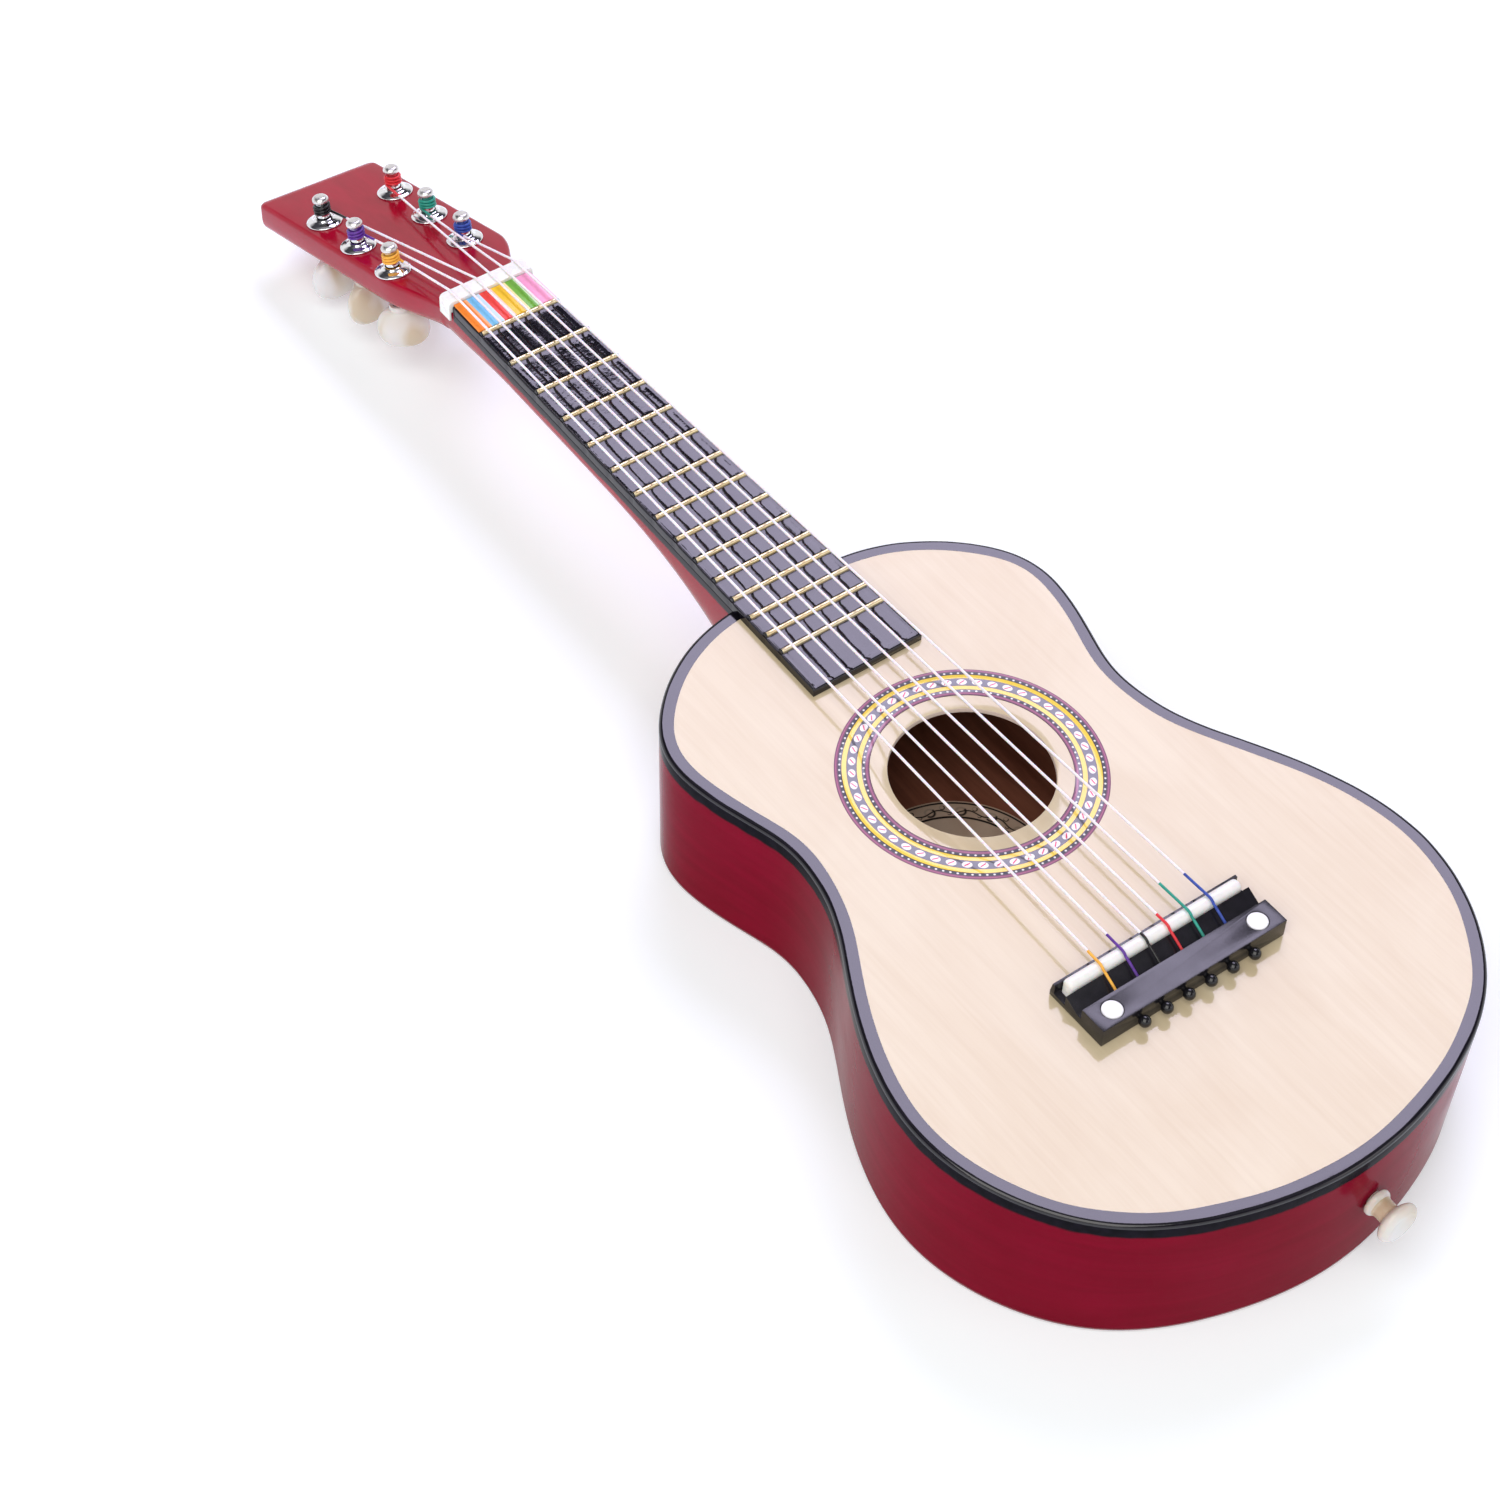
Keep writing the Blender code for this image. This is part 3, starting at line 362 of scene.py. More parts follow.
# ---- materials
def maple():
    net = Net("maple_gloss", IOR=1.5)
    streaks = net.noise(420, 5, 0.6, (1.0, 0.045, 1.0), 0.3)
    flame = net.noise(26, 3, 0.5, (1.0, 0.5, 1.0), 1.2)
    pale = net.ramp(streaks, [(0.3, (0.61, 0.495, 0.325)), (0.62, (0.66, 0.558, 0.38))])
    warm = net.ramp(flame, [(0.35, (0.6, 0.48, 0.3)), (0.65, (0.675, 0.58, 0.405))])
    net.colour(net.mix(0.45, pale, warm))
    net.rough(0.07, 0.12, 60)
    net.bump(net.noise(230, 2), 0.00003, 0.5)
    return net.material


def ply_edge():
    net = Net("ply_edge", Roughness=0.5)
    z = net.xyz()[2]
    layer = net.math("FRACT", net.times(net.minus(z, TOP - PLATE), 3 / PLATE))
    veneer = net.ramp(layer, [(0.0, (0.66, 0.5, 0.42)), (0.5, (0.8, 0.64, 0.55)), (1.0, (0.62, 0.45, 0.37))])
    net.colour(net.mix(net.noise(900, 3), veneer, (0.8, 0.66, 0.58)))
    return net.material


def inner_wood():
    net = Net("inner_wood", Roughness=0.6, Specular_IOR_Level=0.3)
    grain = net.noise(140, 5, 0.6, (1.0, 0.12, 0.5), 0.5)
    net.colour(net.ramp(grain, [(0.3, (0.15, 0.042, 0.022)), (0.7, (0.3, 0.105, 0.062))]))
    net.bump(grain, 0.0002, 0.4)
    return net.material


def softwood():
    net = Net("softwood", Roughness=0.6)
    grain = net.noise(260, 5, 0.6, (0.15, 1.0, 1.0), 0.4)
    net.colour(net.ramp(grain, [(0.3, (0.36, 0.2, 0.09)), (0.7, (0.56, 0.36, 0.18))]))
    net.bump(grain, 0.0002, 0.4)
    return net.material


# The two reds below are one cherry lacquer: the darker pair, for the sides and back, is painted shade; the
# lighter pair, for the neck and head, is painted light.
RED_HEAD_LIT = ((0.3, 0.0012, 0.013), (0.41, 0.003, 0.03))
RED_SIDE_SHADED = ((0.15, 0.0008, 0.009), (0.235, 0.002, 0.023))
BLACK = (0.004, 0.0035, 0.006)
BLACK_SOFT = (0.0085, 0.007, 0.013)


def cherry(name, reds, stretch, edge=None, along=None, ior=1.38, coat=0.0):
    """Tinted lacquer over wood. edge is the height where black lacquer takes over, along its reach in y."""
    net = Net(name, IOR=ior, Coat_Weight=coat, Coat_Roughness=0.06)
    grain = net.noise(180, 5, 0.62, stretch, 0.6)
    cloud = net.noise(22, 2)
    red = net.mix(cloud, *reds)
    figured = net.ramp(grain, [(0.32, (0.8, 0.7, 0.74)), (0.66, (1.0, 1.0, 1.0))])
    colour = net.mix(0.8, red, figured, "MULTIPLY")
    if edge is not None:
        _, y, z = net.xyz()
        lumps = net.times(net.minus(net.noise(120, 2), 0.5), 0.0016)
        height = net.plus(z, lumps)
        painted = net.grade(height, edge - 0.0005, edge + 0.0006)
        if along:
            painted = net.times(painted, net.grade(y, along, along - 0.0012))
        black = net.mottled(BLACK, BLACK_SOFT, 300, 2)
        colour = net.mix(painted, colour, black)
    net.colour(colour)
    net.rough(0.1, 0.2, 45, 3)
    net.bump(net.noise(150, 2), 0.00006, 0.5)
    return net.material


def black_lacquer(name="black_lacquer", wave=0.00016):
    """Thick brushed lacquer, with sags that run along the neck."""
    net = Net(name, IOR=1.55)
    net.colour(net.mottled(BLACK, BLACK_SOFT, 240))
    net.rough(0.05, 0.1, 90)
    runs = net.noise(150, 2, 0.5, (1.0, 0.22, 1.0), 0.8)
    specks = net.noise(620, 2)
    net.bump(net.plus(runs, net.times(specks, 0.18)), wave, 0.9)
    return net.material


def black_plastic():
    net = Net("black_plastic", IOR=1.5)
    net.colour(net.mottled((0.0085, 0.008, 0.0105), (0.014, 0.0125, 0.017), 400))
    net.rough(0.17, 0.27, 120, 3)
    net.bump(net.noise(2600, 2), 0.00002, 0.5)
    return net.material


def glossy_black():
    net = Net("ball_black", IOR=1.5)
    net.colour(net.mottled((0.004, 0.004, 0.0055), (0.009, 0.0085, 0.011), 700))
    net.rough(0.06, 0.14, 500)
    return net.material


def pale_plastic(name, low, high, roughness=0.28):
    net = Net(name, Subsurface_Weight=0.15, Subsurface_Scale=0.002)
    net.colour(net.mottled(low, high, 130, 4))
    net.rough(roughness - 0.05, roughness + 0.06, 260)
    net.bump(net.noise(1400, 2), 0.00002, 0.4)
    return net.material


def swirled_ivory():
    """Cloudy moulded plastic with a tan band through it."""
    net = Net("swirled_ivory", Subsurface_Weight=0.2, Subsurface_Scale=0.003)
    swirl = net.noise(70, 1.5, 0.4, (1.0, 1.0, 0.6), 0.6)
    bands = [(0.32, (0.56, 0.47, 0.35)), (0.46, (0.66, 0.62, 0.57)), (0.66, (0.7, 0.69, 0.7))]
    net.colour(net.ramp(swirl, bands))
    net.rough(0.14, 0.22, 180)
    return net.material


def pearl():
    net = Net("pearl", Roughness=0.22, Coat_Weight=0.4)
    flakes = net.ramp(net.xyz(net.cells(1300))[0], [(0.0, (0.6, 0.6, 0.66)), (1.0, (0.95, 0.95, 0.97))])
    net.colour(net.mix(0.35, (0.86, 0.85, 0.88), flakes))
    return net.material


def metal(name, low, high, roughness, brushed=(1.0, 1.0, 1.0)):
    net = Net(name, Metallic=1.0)
    net.colour(net.mottled(low, high, 300, 4, 0.6, brushed))
    net.rough(roughness * 0.7, roughness * 1.4, 700, 3, 0.6, brushed)
    net.bump(net.noise(1500, 2, 0.5, brushed), 0.00002, 0.3)
    return net.material


def nylon(name, low, high, shine=0.3, scatter=0.25):
    net = Net(name, Subsurface_Weight=scatter, Subsurface_Scale=0.001)
    net.colour(net.mottled(low, high, 600))
    net.rough(shine - 0.08, shine + 0.08, 900)
    net.bump(net.noise(2400, 2), 0.00003, 0.4)
    return net.material


def printed_ring():
    """Rings of colour with a chain of ovals between two chains of dots."""
    net = Net("printed_ring", IOR=1.5)
    reach, turn = net.around()
    low, high = 33.6, 45.8
    line = (0.09, 0.05, 0.075)
    mauve = (0.3, 0.15, 0.25)
    pink = (0.52, 0.2, 0.34)
    slate = (0.125, 0.125, 0.165)
    yellow = (0.93, 0.68, 0.11)
    bands = [(33.6, line), (33.95, mauve), (34.45, pink), (34.8, mauve), (35.2, slate), (36.15, line),
             (36.4, yellow), (37.95, line), (38.2, slate), (41.2, line), (41.4, yellow), (42.95, line),
             (43.2, slate), (44.25, mauve), (44.7, pink), (45.05, mauve), (45.5, line)]
    stops = [((r - low) / (high - low), colour) for r, colour in bands]
    colour = net.ramp(net.grade(reach, low, high), stops, True)
    for count, radius in ((92, 35.68), (116, 43.72)):
        dot, _, _ = net.spots(reach, turn, count, radius, 0.42, 0.36)
        colour = net.mix(dot, colour, (0.9, 0.88, 0.92))
    oval, along, across = net.spots(reach, turn, 48, 39.7, 1.72, 1.22, 0.07)
    colour = net.mix(oval, colour, (0.93, 0.87, 0.89))
    # a short slanting stroke in each oval
    slant = net.plus(across, net.times(along, 0.75))
    stroke = net.grade(net.math("ABSOLUTE", slant), 0.2, 0.4, 1.0, 0.0)
    inside = net.grade(net.math("ABSOLUTE", along), 0.85, 1.05, 1.0, 0.0)
    colour = net.mix(net.times(stroke, inside), colour, (0.7, 0.03, 0.12))
    hatch = net.math("FRACT", net.times(turn, 420.0))
    speckle = net.mottled((0.93, 0.93, 0.93), (1.0, 1.0, 1.0), 1500, 2)
    shade = net.mix(net.grade(hatch, 0.0, 0.35, 0.3, 0.0), speckle, (0.88, 0.84, 0.74))
    net.colour(net.mix(0.8, colour, shade, "MULTIPLY"))
    net.rough(0.07, 0.11, 200)
    return net.material


def label_paper():
    """Tan paper with a vine of curls between two thin circles."""
    net = Net("label_paper", Roughness=0.75, Specular_IOR_Level=0.2)
    reach, turn = net.around()
    paper = net.mottled((0.56, 0.39, 0.29), (0.66, 0.49, 0.38), 90, 4)
    ink = (0.018, 0.01, 0.008)
    rings = None
    for radius, half in ((35.0, 0.28), (28.6, 0.35)):
        off = net.math("ABSOLUTE", net.minus(reach, radius))
        ring = net.grade(off, half, half + 0.15, 1.0, 0.0)
        rings = net.math("MAXIMUM", rings, ring) if rings else ring
    count = 18
    for radius, turned, size in ((31.3, 0.0, 2.1), (33.0, 0.42, 1.05), (30.3, 0.62, 0.8)):
        shifted = net.plus(turn, turned / count)
        disc, along, across = net.spots(reach, shifted, count, radius, size, size, 0.12)
        hollow, _, _ = net.spots(reach, shifted, count, radius, size * 0.62, size * 0.62, 0.2)
        open_side = net.grade(net.plus(along, across), -0.2, 0.3, 1.0, 0.25)
        curl = net.times(net.minus(disc, hollow, clamp=True), open_side)
        rings = net.math("MAXIMUM", rings, curl)
    wave = net.times(net.math("SINE", net.times(turn, 2 * math.pi * count)), 0.75)
    vine = net.math("ABSOLUTE", net.minus(net.minus(reach, 31.2), wave))
    rings = net.math("MAXIMUM", rings, net.grade(vine, 0.16, 0.42, 1.0, 0.0))
    net.colour(net.mix(rings, paper, ink))
    return net.material


def striped_sticker():
    """Six lengthwise colours, each with a paler strip just beside a string: painted highlights of the
    strings.
    """
    net = Net("striped_sticker", Roughness=0.35)
    x = net.xyz()[0]
    low, high = -18.0, 18.0
    white = (0.86, 0.86, 0.86)
    # the paler strip after each colour, and the white one, lie just beside a string: painted string
    # highlights, the rest is print
    bands = [(-18.0, (0.95, 0.26, 0.02)), (-12.4, (0.93, 0.44, 0.2)), (-11.5, (0.2, 0.56, 0.88)),
             (-7.3, (0.62, 0.82, 0.95)), (-5.9, (0.9, 0.055, 0.04)), (-1.7, (0.96, 0.72, 0.6)),
             (-0.6, (0.93, 0.58, 0.01)), (4.6, (0.97, 0.86, 0.42)), (5.5, (0.16, 0.46, 0.03)),
             (8.9, (0.6, 0.8, 0.5)), (9.9, white), (10.6, (0.93, 0.36, 0.6)), (14.9, (0.95, 0.52, 0.7))]
    stops = [((r - low) / (high - low), colour) for r, colour in bands]
    stripes = net.ramp(net.grade(net.times(x, 1000.0), low, high), stops, True)
    fibre = net.mottled((0.9, 0.9, 0.9), (1.0, 1.0, 1.0), 900)
    net.colour(net.mix(1.0, stripes, fibre, "MULTIPLY"))
    return net.material


make_camera()
make_lights()
make_world()
make_floor()

MAPLE = maple()
PLY = ply_edge()
INNER = inner_wood()
SOFTWOOD = softwood()
# the sides and back take the darker red, painted shade; the neck and head take the lighter red, painted light
RIM = cherry("cherry_side_shaded", RED_SIDE_SHADED, (0.1, 0.1, 1.0), TOP - 0.0062, None, 1.06, 0.04)
CHERRY_BACK = cherry("cherry_back_shaded", RED_SIDE_SHADED, (1.0, 0.06, 1.0), None, None, 1.2, 0.3)
CHERRY_NECK = cherry("cherry_neck_lit", RED_HEAD_LIT, (1.0, 0.06, 1.0), TOP - 0.0034, place(NUT_FRONT))
LACQUER = black_lacquer()
EDGE_LACQUER = black_lacquer("edge_lacquer", 0.00006)
BLACK_PLASTIC = black_plastic()
BALL = glossy_black()
WHITE = pale_plastic("white_plastic", (0.84, 0.83, 0.81), (0.89, 0.885, 0.87))
IVORY = swirled_ivory()
PEARL = pearl()
# this tan goes only on the strap button's narrow neck under its head: painted shade in the groove
TAN = pale_plastic("tan_groove_shade", (0.52, 0.4, 0.27), (0.66, 0.54, 0.4), 0.25)
BRASS = metal("fret_brass", (0.92, 0.74, 0.42), (1.0, 0.87, 0.6), 0.34, (0.1, 1.0, 1.0))
CHROME = metal("chrome", (0.72, 0.72, 0.74), (0.86, 0.86, 0.88), 0.07)
CAP_METAL = metal("cap_metal", (0.66, 0.64, 0.63), (0.84, 0.82, 0.8), 0.3)
STEEL = metal("plated_steel", (0.52, 0.52, 0.54), (0.66, 0.66, 0.68), 0.25)
NYLON = nylon("nylon", (0.83, 0.78, 0.84), (0.92, 0.88, 0.93))
RING = printed_ring()
LABEL = label_paper()
STICKER = striped_sticker()
DULL = (0.35, 0.05)
STRING_COLOURS = (
    nylon("nylon_orange", (0.8, 0.36, 0.03), (0.95, 0.5, 0.06), *DULL),
    nylon("nylon_purple", (0.075, 0.012, 0.24), (0.14, 0.03, 0.36), *DULL),
    nylon("nylon_black", (0.0025, 0.0025, 0.0035), (0.0055, 0.0055, 0.0075), 0.22, 0.0),
    nylon("nylon_red", (0.62, 0.01, 0.02), (0.8, 0.022, 0.04), *DULL),
    nylon("nylon_teal", (0.006, 0.24, 0.18), (0.015, 0.36, 0.27), *DULL),
    nylon("nylon_blue", (0.012, 0.04, 0.3), (0.03, 0.085, 0.46), *DULL),
)


# ---- mesh helpers
def finish_mesh(mesh, materials, angle=35.0, body="guitar"):
    """Makes the piece of a mesh, with its name: shaded smooth up to an angle, and riding on a body."""
    for material in materials:
        mesh.materials.append(material)
    work = bmesh.new()
    work.from_mesh(mesh)
    bmesh.ops.recalc_face_normals(work, faces=work.faces)
    work.to_mesh(mesh)
    work.free()
    for polygon in mesh.polygons:
        polygon.use_smooth = True
    mesh.set_sharp_from_angle(angle=math.radians(angle))
    piece = link(mesh.name, mesh)
    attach(piece, body)
    return piece


def loft(name, rings, slots=None, ring_loop=False):
    """A skin over equal rings of points. slots(ring) picks each face's material."""
    count = len(rings[0])
    points = [tuple(p) for ring in rings for p in ring]
    faces = []
    picks = []
    last = len(rings) if ring_loop else len(rings) - 1
    for i in range(last):
        a, b = i * count, ((i + 1) % len(rings)) * count
        for j in range(count):
            k = (j + 1) % count
            faces.append((a + j, a + k, b + k, b + j))
            picks.append(slots(i) if slots else 0)
    if not ring_loop:
        faces.append(tuple(range(count))[::-1])
        picks.append(slots(0) if slots else 0)
        faces.append(tuple(last * count + j for j in range(count)))
        picks.append(slots(last - 1) if slots else 0)
    mesh = bpy.data.meshes.new(name)
    mesh.from_pydata(points, [], faces)
    for polygon, pick in zip(mesh.polygons, picks):
        polygon.material_index = pick
    return mesh


def lathe(name, profile, steps, matrix, slots=None, ring=False):
    """Turns (radius, height) pairs about the matrix's z axis."""
    rings = []
    for radius, height in profile:
        loop = []
        for k in range(steps):
            angle = 2 * math.pi * k / steps
            loop.append(matrix @ Vector((radius * math.cos(angle), radius * math.sin(angle), height)))
        rings.append(loop)
    pick = (lambda i: slots[i]) if slots else None
    return loft(name, rings, pick, ring_loop=ring)


def rounded(profile, radius, steps=4):
    """Rounds each inner corner of an open chain of (r, z) pairs."""
    out = [profile[0]]
    for before, here, after in zip(profile, profile[1:], profile[2:]):
        a, b, c = Vector(before), Vector(here), Vector(after)
        reach = min(radius, (a - b).length * 0.45, (c - b).length * 0.45)
        start = b + (a - b).normalized() * reach
        end = b + (c - b).normalized() * reach
        for k in range(steps + 1):
            t = k / steps
            out.append(tuple(start * (1 - t) ** 2 + b * 2 * t * (1 - t) + end * t * t))
    out.append(profile[-1])
    return out


def eased_copy(name, node, materials, width, segments):
    """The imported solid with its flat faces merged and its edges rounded."""
    source = frame["nodes"][node]
    mesh = source.data.copy()
    mesh.transform(source.matrix_world)
    mesh.materials.clear()
    work = bmesh.new()
    work.from_mesh(mesh)
    bmesh.ops.remove_doubles(work, verts=work.verts, dist=1e-6)
    bmesh.ops.dissolve_limit(work, angle_limit=math.radians(1.0), verts=work.verts, edges=work.edges)
    turned = math.radians(30.0)
    sharp = [e for e in work.edges if len(e.link_faces) == 2 and e.calc_face_angle(0) > turned]
    bmesh.ops.bevel(work, geom=sharp, offset=width, segments=segments, profile=0.5, affect="EDGES",
                    clamp_overlap=True)
    work.to_mesh(mesh)
    work.free()
    mesh.attributes.active_color_index = -1
    mesh.name = name
    piece = finish_mesh(mesh, materials, 40.0)
    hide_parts(node)
    return piece


def tube(points, radii, sides):
    """Rings of a round rod along a path, carried along without twist."""
    points = [Vector(p) for p in points]
    rings = []
    normal = None
    for i, (point, radius) in enumerate(zip(points, radii)):
        ahead = points[min(i + 1, len(points) - 1)] - points[max(i - 1, 0)]
        ahead.normalize()
        if normal is None:
            normal = ahead.orthogonal().normalized()
        normal = (normal - ahead * normal.dot(ahead)).normalized()
        across = ahead.cross(normal)
        ring = []
        for k in range(sides):
            angle = 2 * math.pi * k / sides
            ring.append(point + radius * (math.cos(angle) * normal + math.sin(angle) * across))
        rings.append(ring)
    return rings


# ---- body
def fine_outline(steps):
    """The soundboard's edge, resampled finely round the whole closed curve."""
    source = frame["nodes"]["soundboard"]
    corners = set()
    for vertex in source.data.vertices:
        p = source.matrix_world @ vertex.co
        if abs(p.z - TOP) < 1e-5:
            corners.add((round(p.x, 6), round(p.y, 6)))
    centre = Vector((0.0, HOLE_Y))
    # the sound hole's rim and the bridge's screw holes are left out
    points = [Vector(c) for c in corners if (Vector(c) - centre).length > 0.045]
    points = [p for p in points if not (abs(p.x) < 0.036 and -0.22 < p.y < -0.19)]
    points.sort(key=lambda p: math.atan2(p.x + 1e-5, p.y - HOLE_Y))
    wave = np.fft.fft(np.array([complex(p.x, p.y) for p in points]))
    count = len(wave)
    half = count // 2
    wide = np.zeros(steps, complex)
    wide[:half] = wave[:half]
    wide[-half:] = wave[-half:]
    fine = np.fft.ifft(wide) * steps / count
    return np.stack([fine.real, fine.imag], axis=1)


OUTLINE = fine_outline(528)


def inset(distance):
    """The outline moved inwards. distance may vary round it."""
    ahead = np.roll(OUTLINE, -1, axis=0) - np.roll(OUTLINE, 1, axis=0)
    ahead = ahead / np.linalg.norm(ahead, axis=1)[:, None]
    inward = np.stack([ahead[:, 1], -ahead[:, 0]], axis=1)
    return OUTLINE + np.atleast_1d(distance)[:, None] * inward


def ripple(seed, terms, size):
    """A gentle closed wobble round the outline."""
    draw = np.random.default_rng(seed)
    turn = np.linspace(0, 2 * math.pi, len(OUTLINE), endpoint=False)
    total = np.zeros(len(OUTLINE))
    for k in terms:
        total += draw.normal() * np.sin(k * turn + draw.uniform(0, 2 * math.pi)) / math.sqrt(len(terms))
    return total * size


def level_ring(flat, z):
    return [(x, y, z) for x, y in flat]


def wall_ring(margin, z):
    """The outline at a height, moved inwards by a margin and by the taper of the sides."""
    return level_ring(inset(margin + BODY_TAPER * (1 - z / TOP) * np.ones(len(OUTLINE))), z)


def make_soundboard():
    edge = inset(0.0022)
    centre = np.array([0.0, HOLE_Y])
    away = edge - centre
    away = away / np.linalg.norm(away, axis=1)[:, None]
    top = TOP - 0.00004
    low = TOP - PLATE
    rings = []
    slots = []

    def ring(inner, share, z, slot):
        start = centre + away * inner
        rings.append(level_ring(start + share * (edge - start), z))
        slots.append(slot)

    bevel = 0.0003
    for share in np.linspace(1, 0, 10):
        ring(SOUND_HOLE + bevel, share, top, 0)
    ring(SOUND_HOLE + 0.0001, 0, top - 0.0001, 1)
    ring(SOUND_HOLE, 0, top - bevel, 1)
    ring(SOUND_HOLE, 0, low + bevel, 1)
    for share in np.linspace(0, 1, 6):
        ring(SOUND_HOLE + bevel, share, low, 2)
    mesh = loft("soundboard_panel", rings, lambda i: slots[i] if i < len(slots) - 1 else 0, ring_loop=True)
    piece = finish_mesh(mesh, [MAPLE, PLY, INNER])
    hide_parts("soundboard")


def make_side():
    """The bent side, with the black lacquer that wraps over the edge of the top."""
    round_top = 0.0014
    paint = 0.0052 + ripple(3, range(5, 30), 0.00012)
    sag = ripple(5, range(12, 60), 0.00005)
    rings = []

    def ring(margin, z):
        rings.append(wall_ring(margin, z))

    crown = TOP - 0.00002
    ring(paint, TOP - 0.0003)
    ring(paint - 0.00004, TOP - 0.00001)
    ring(paint - 0.0003, crown)
    ring(paint * 0.62, crown)
    ring(round_top * 1.15 + sag, crown)
    skin = 0.00003
    round_steps = 8
    for k, (sine, cosine) in enumerate(quarter(round_steps)):
        if k:
            margin = round_top * (1 - sine) + sag * (1 - k / round_steps) + skin
            ring(margin, crown - round_top * (1 - cosine))
    outer_last = len(rings)
    wall_low = 0.0023
    for z in np.linspace(0.0555, wall_low, 26):
        ring(skin, float(z))
    wall = len(rings)
    inside = 0.0026
    for z in (wall_low, 0.03, TOP - PLATE + 0.0001):
        ring(inside, z)

    def pick(i):
        if i < outer_last - 1 or i == len(rings) - 1:
            return 2
        return 1 if i >= wall - 1 else 0

    mesh = loft("body_side", rings, pick, ring_loop=True)
    piece = finish_mesh(mesh, [RIM, INNER, EDGE_LACQUER], 50.0)
    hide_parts("rib")


def make_back():
    high = BACK_TOP
    skin = 0.00003
    round_edge = 0.0016
    spans = [(0.004, high), (0.0006, high), (skin, high - 0.0002)]
    for sine, cosine in quarter(6)[1:]:
        spans.append((skin + round_edge * (1 - cosine), round_edge * (1 - sine)))
    spans += [(0.01, 0.0), (0.03, 0.0)]
    rings = [wall_ring(margin, z) for margin, z in spans]
    centre = np.array([0.0, HOLE_Y])
    inner, base = (np.array(ring)[:, :2] for ring in (rings[0], rings[-1]))
    rings += [level_ring(centre + (base - centre) * share, 0.0) for share in (0.66, 0.33, 0.02)]
    rings = [level_ring(centre + (inner - centre) * share, high) for share in (0.02, 0.35, 0.7)] + rings
    mesh = loft("back_panel", rings, lambda i: 1 if i < 4 else 0)
    piece = finish_mesh(mesh, [CHERRY_BACK, INNER])
    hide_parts("back_plate")


def make_rosette():
    inner = ROSETTE_INNER
    outer = ROSETTE_OUTER
    low = TOP - 0.0001
    high = TOP + 0.00008
    profile = [(inner, low), (inner, high - 0.00003), (inner + 0.00005, high), ((inner + outer) / 2, high),
               (outer - 0.00005, high), (outer, high - 0.00003), (outer, low), ((inner + outer) / 2, low)]
    mesh = lathe("rosette_print", profile, 240, Matrix.Translation((0, HOLE_Y, 0)), ring=True)
    piece = finish_mesh(mesh, [RING])
    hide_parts("rosette")


def make_label():
    low, high = BACK_TOP, 0.0027
    wide = LABEL_RADIUS
    profile = [(0.0001, high), (wide / 2, high), (wide - 0.0003, high), (wide, high - 0.0001), (wide, low),
               (0.0001, low)]
    mesh = lathe("scroll_label", profile, 128, Matrix.Translation((0, HOLE_Y, 0)))
    piece = finish_mesh(mesh, [LABEL])
    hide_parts("inner_label")


# ---- neck and headstock
HEAD_SLOPE = math.tan(HEAD_ANGLE)


def head_face(y):
    return TOP - HEAD_STEP - HEAD_SLOPE * (y - NUT_BACK)


def neck_section(y, half_width, top, depth, edge, power, skew=0.0):
    corner = [(half_width - edge + edge * sine, top - edge + edge * cosine) for sine, cosine in quarter(5)]
    across = [(x, top) for x in np.linspace(-(half_width - edge), half_width - edge, 9)[1:-1]]
    section = across + corner
    steps = 40
    for k in range(1, steps):
        angle = math.pi * k / steps
        x = math.copysign(abs(math.cos(angle)) ** (2 / power), math.cos(angle)) * half_width
        section.append((x, top - edge - (depth - edge) * math.sin(angle) ** (2 / power)))
    section += [(-x, z) for x, z in corner[::-1]]
    shift = skew * (HEAD_PIVOT - y)
    return [(x + shift, place(y - skew * x), z + HEAD_SLOPE * skew * x) for x, z in section]


def neck_depth(y):
    share = min(max((y - BODY_END) / HEEL_LENGTH, 0.0), 1.0)
    return NECK_DEPTH + (HEEL_DEPTH - NECK_DEPTH) * (1 - share) ** HEEL_CURVE


def head_half_width(y):
    near = board_half_width(SCALE_LENGTH)
    return near + (HEAD_WIDTH / 2 - near) * ease((y - NUT_BACK) / HEAD_FLARE)


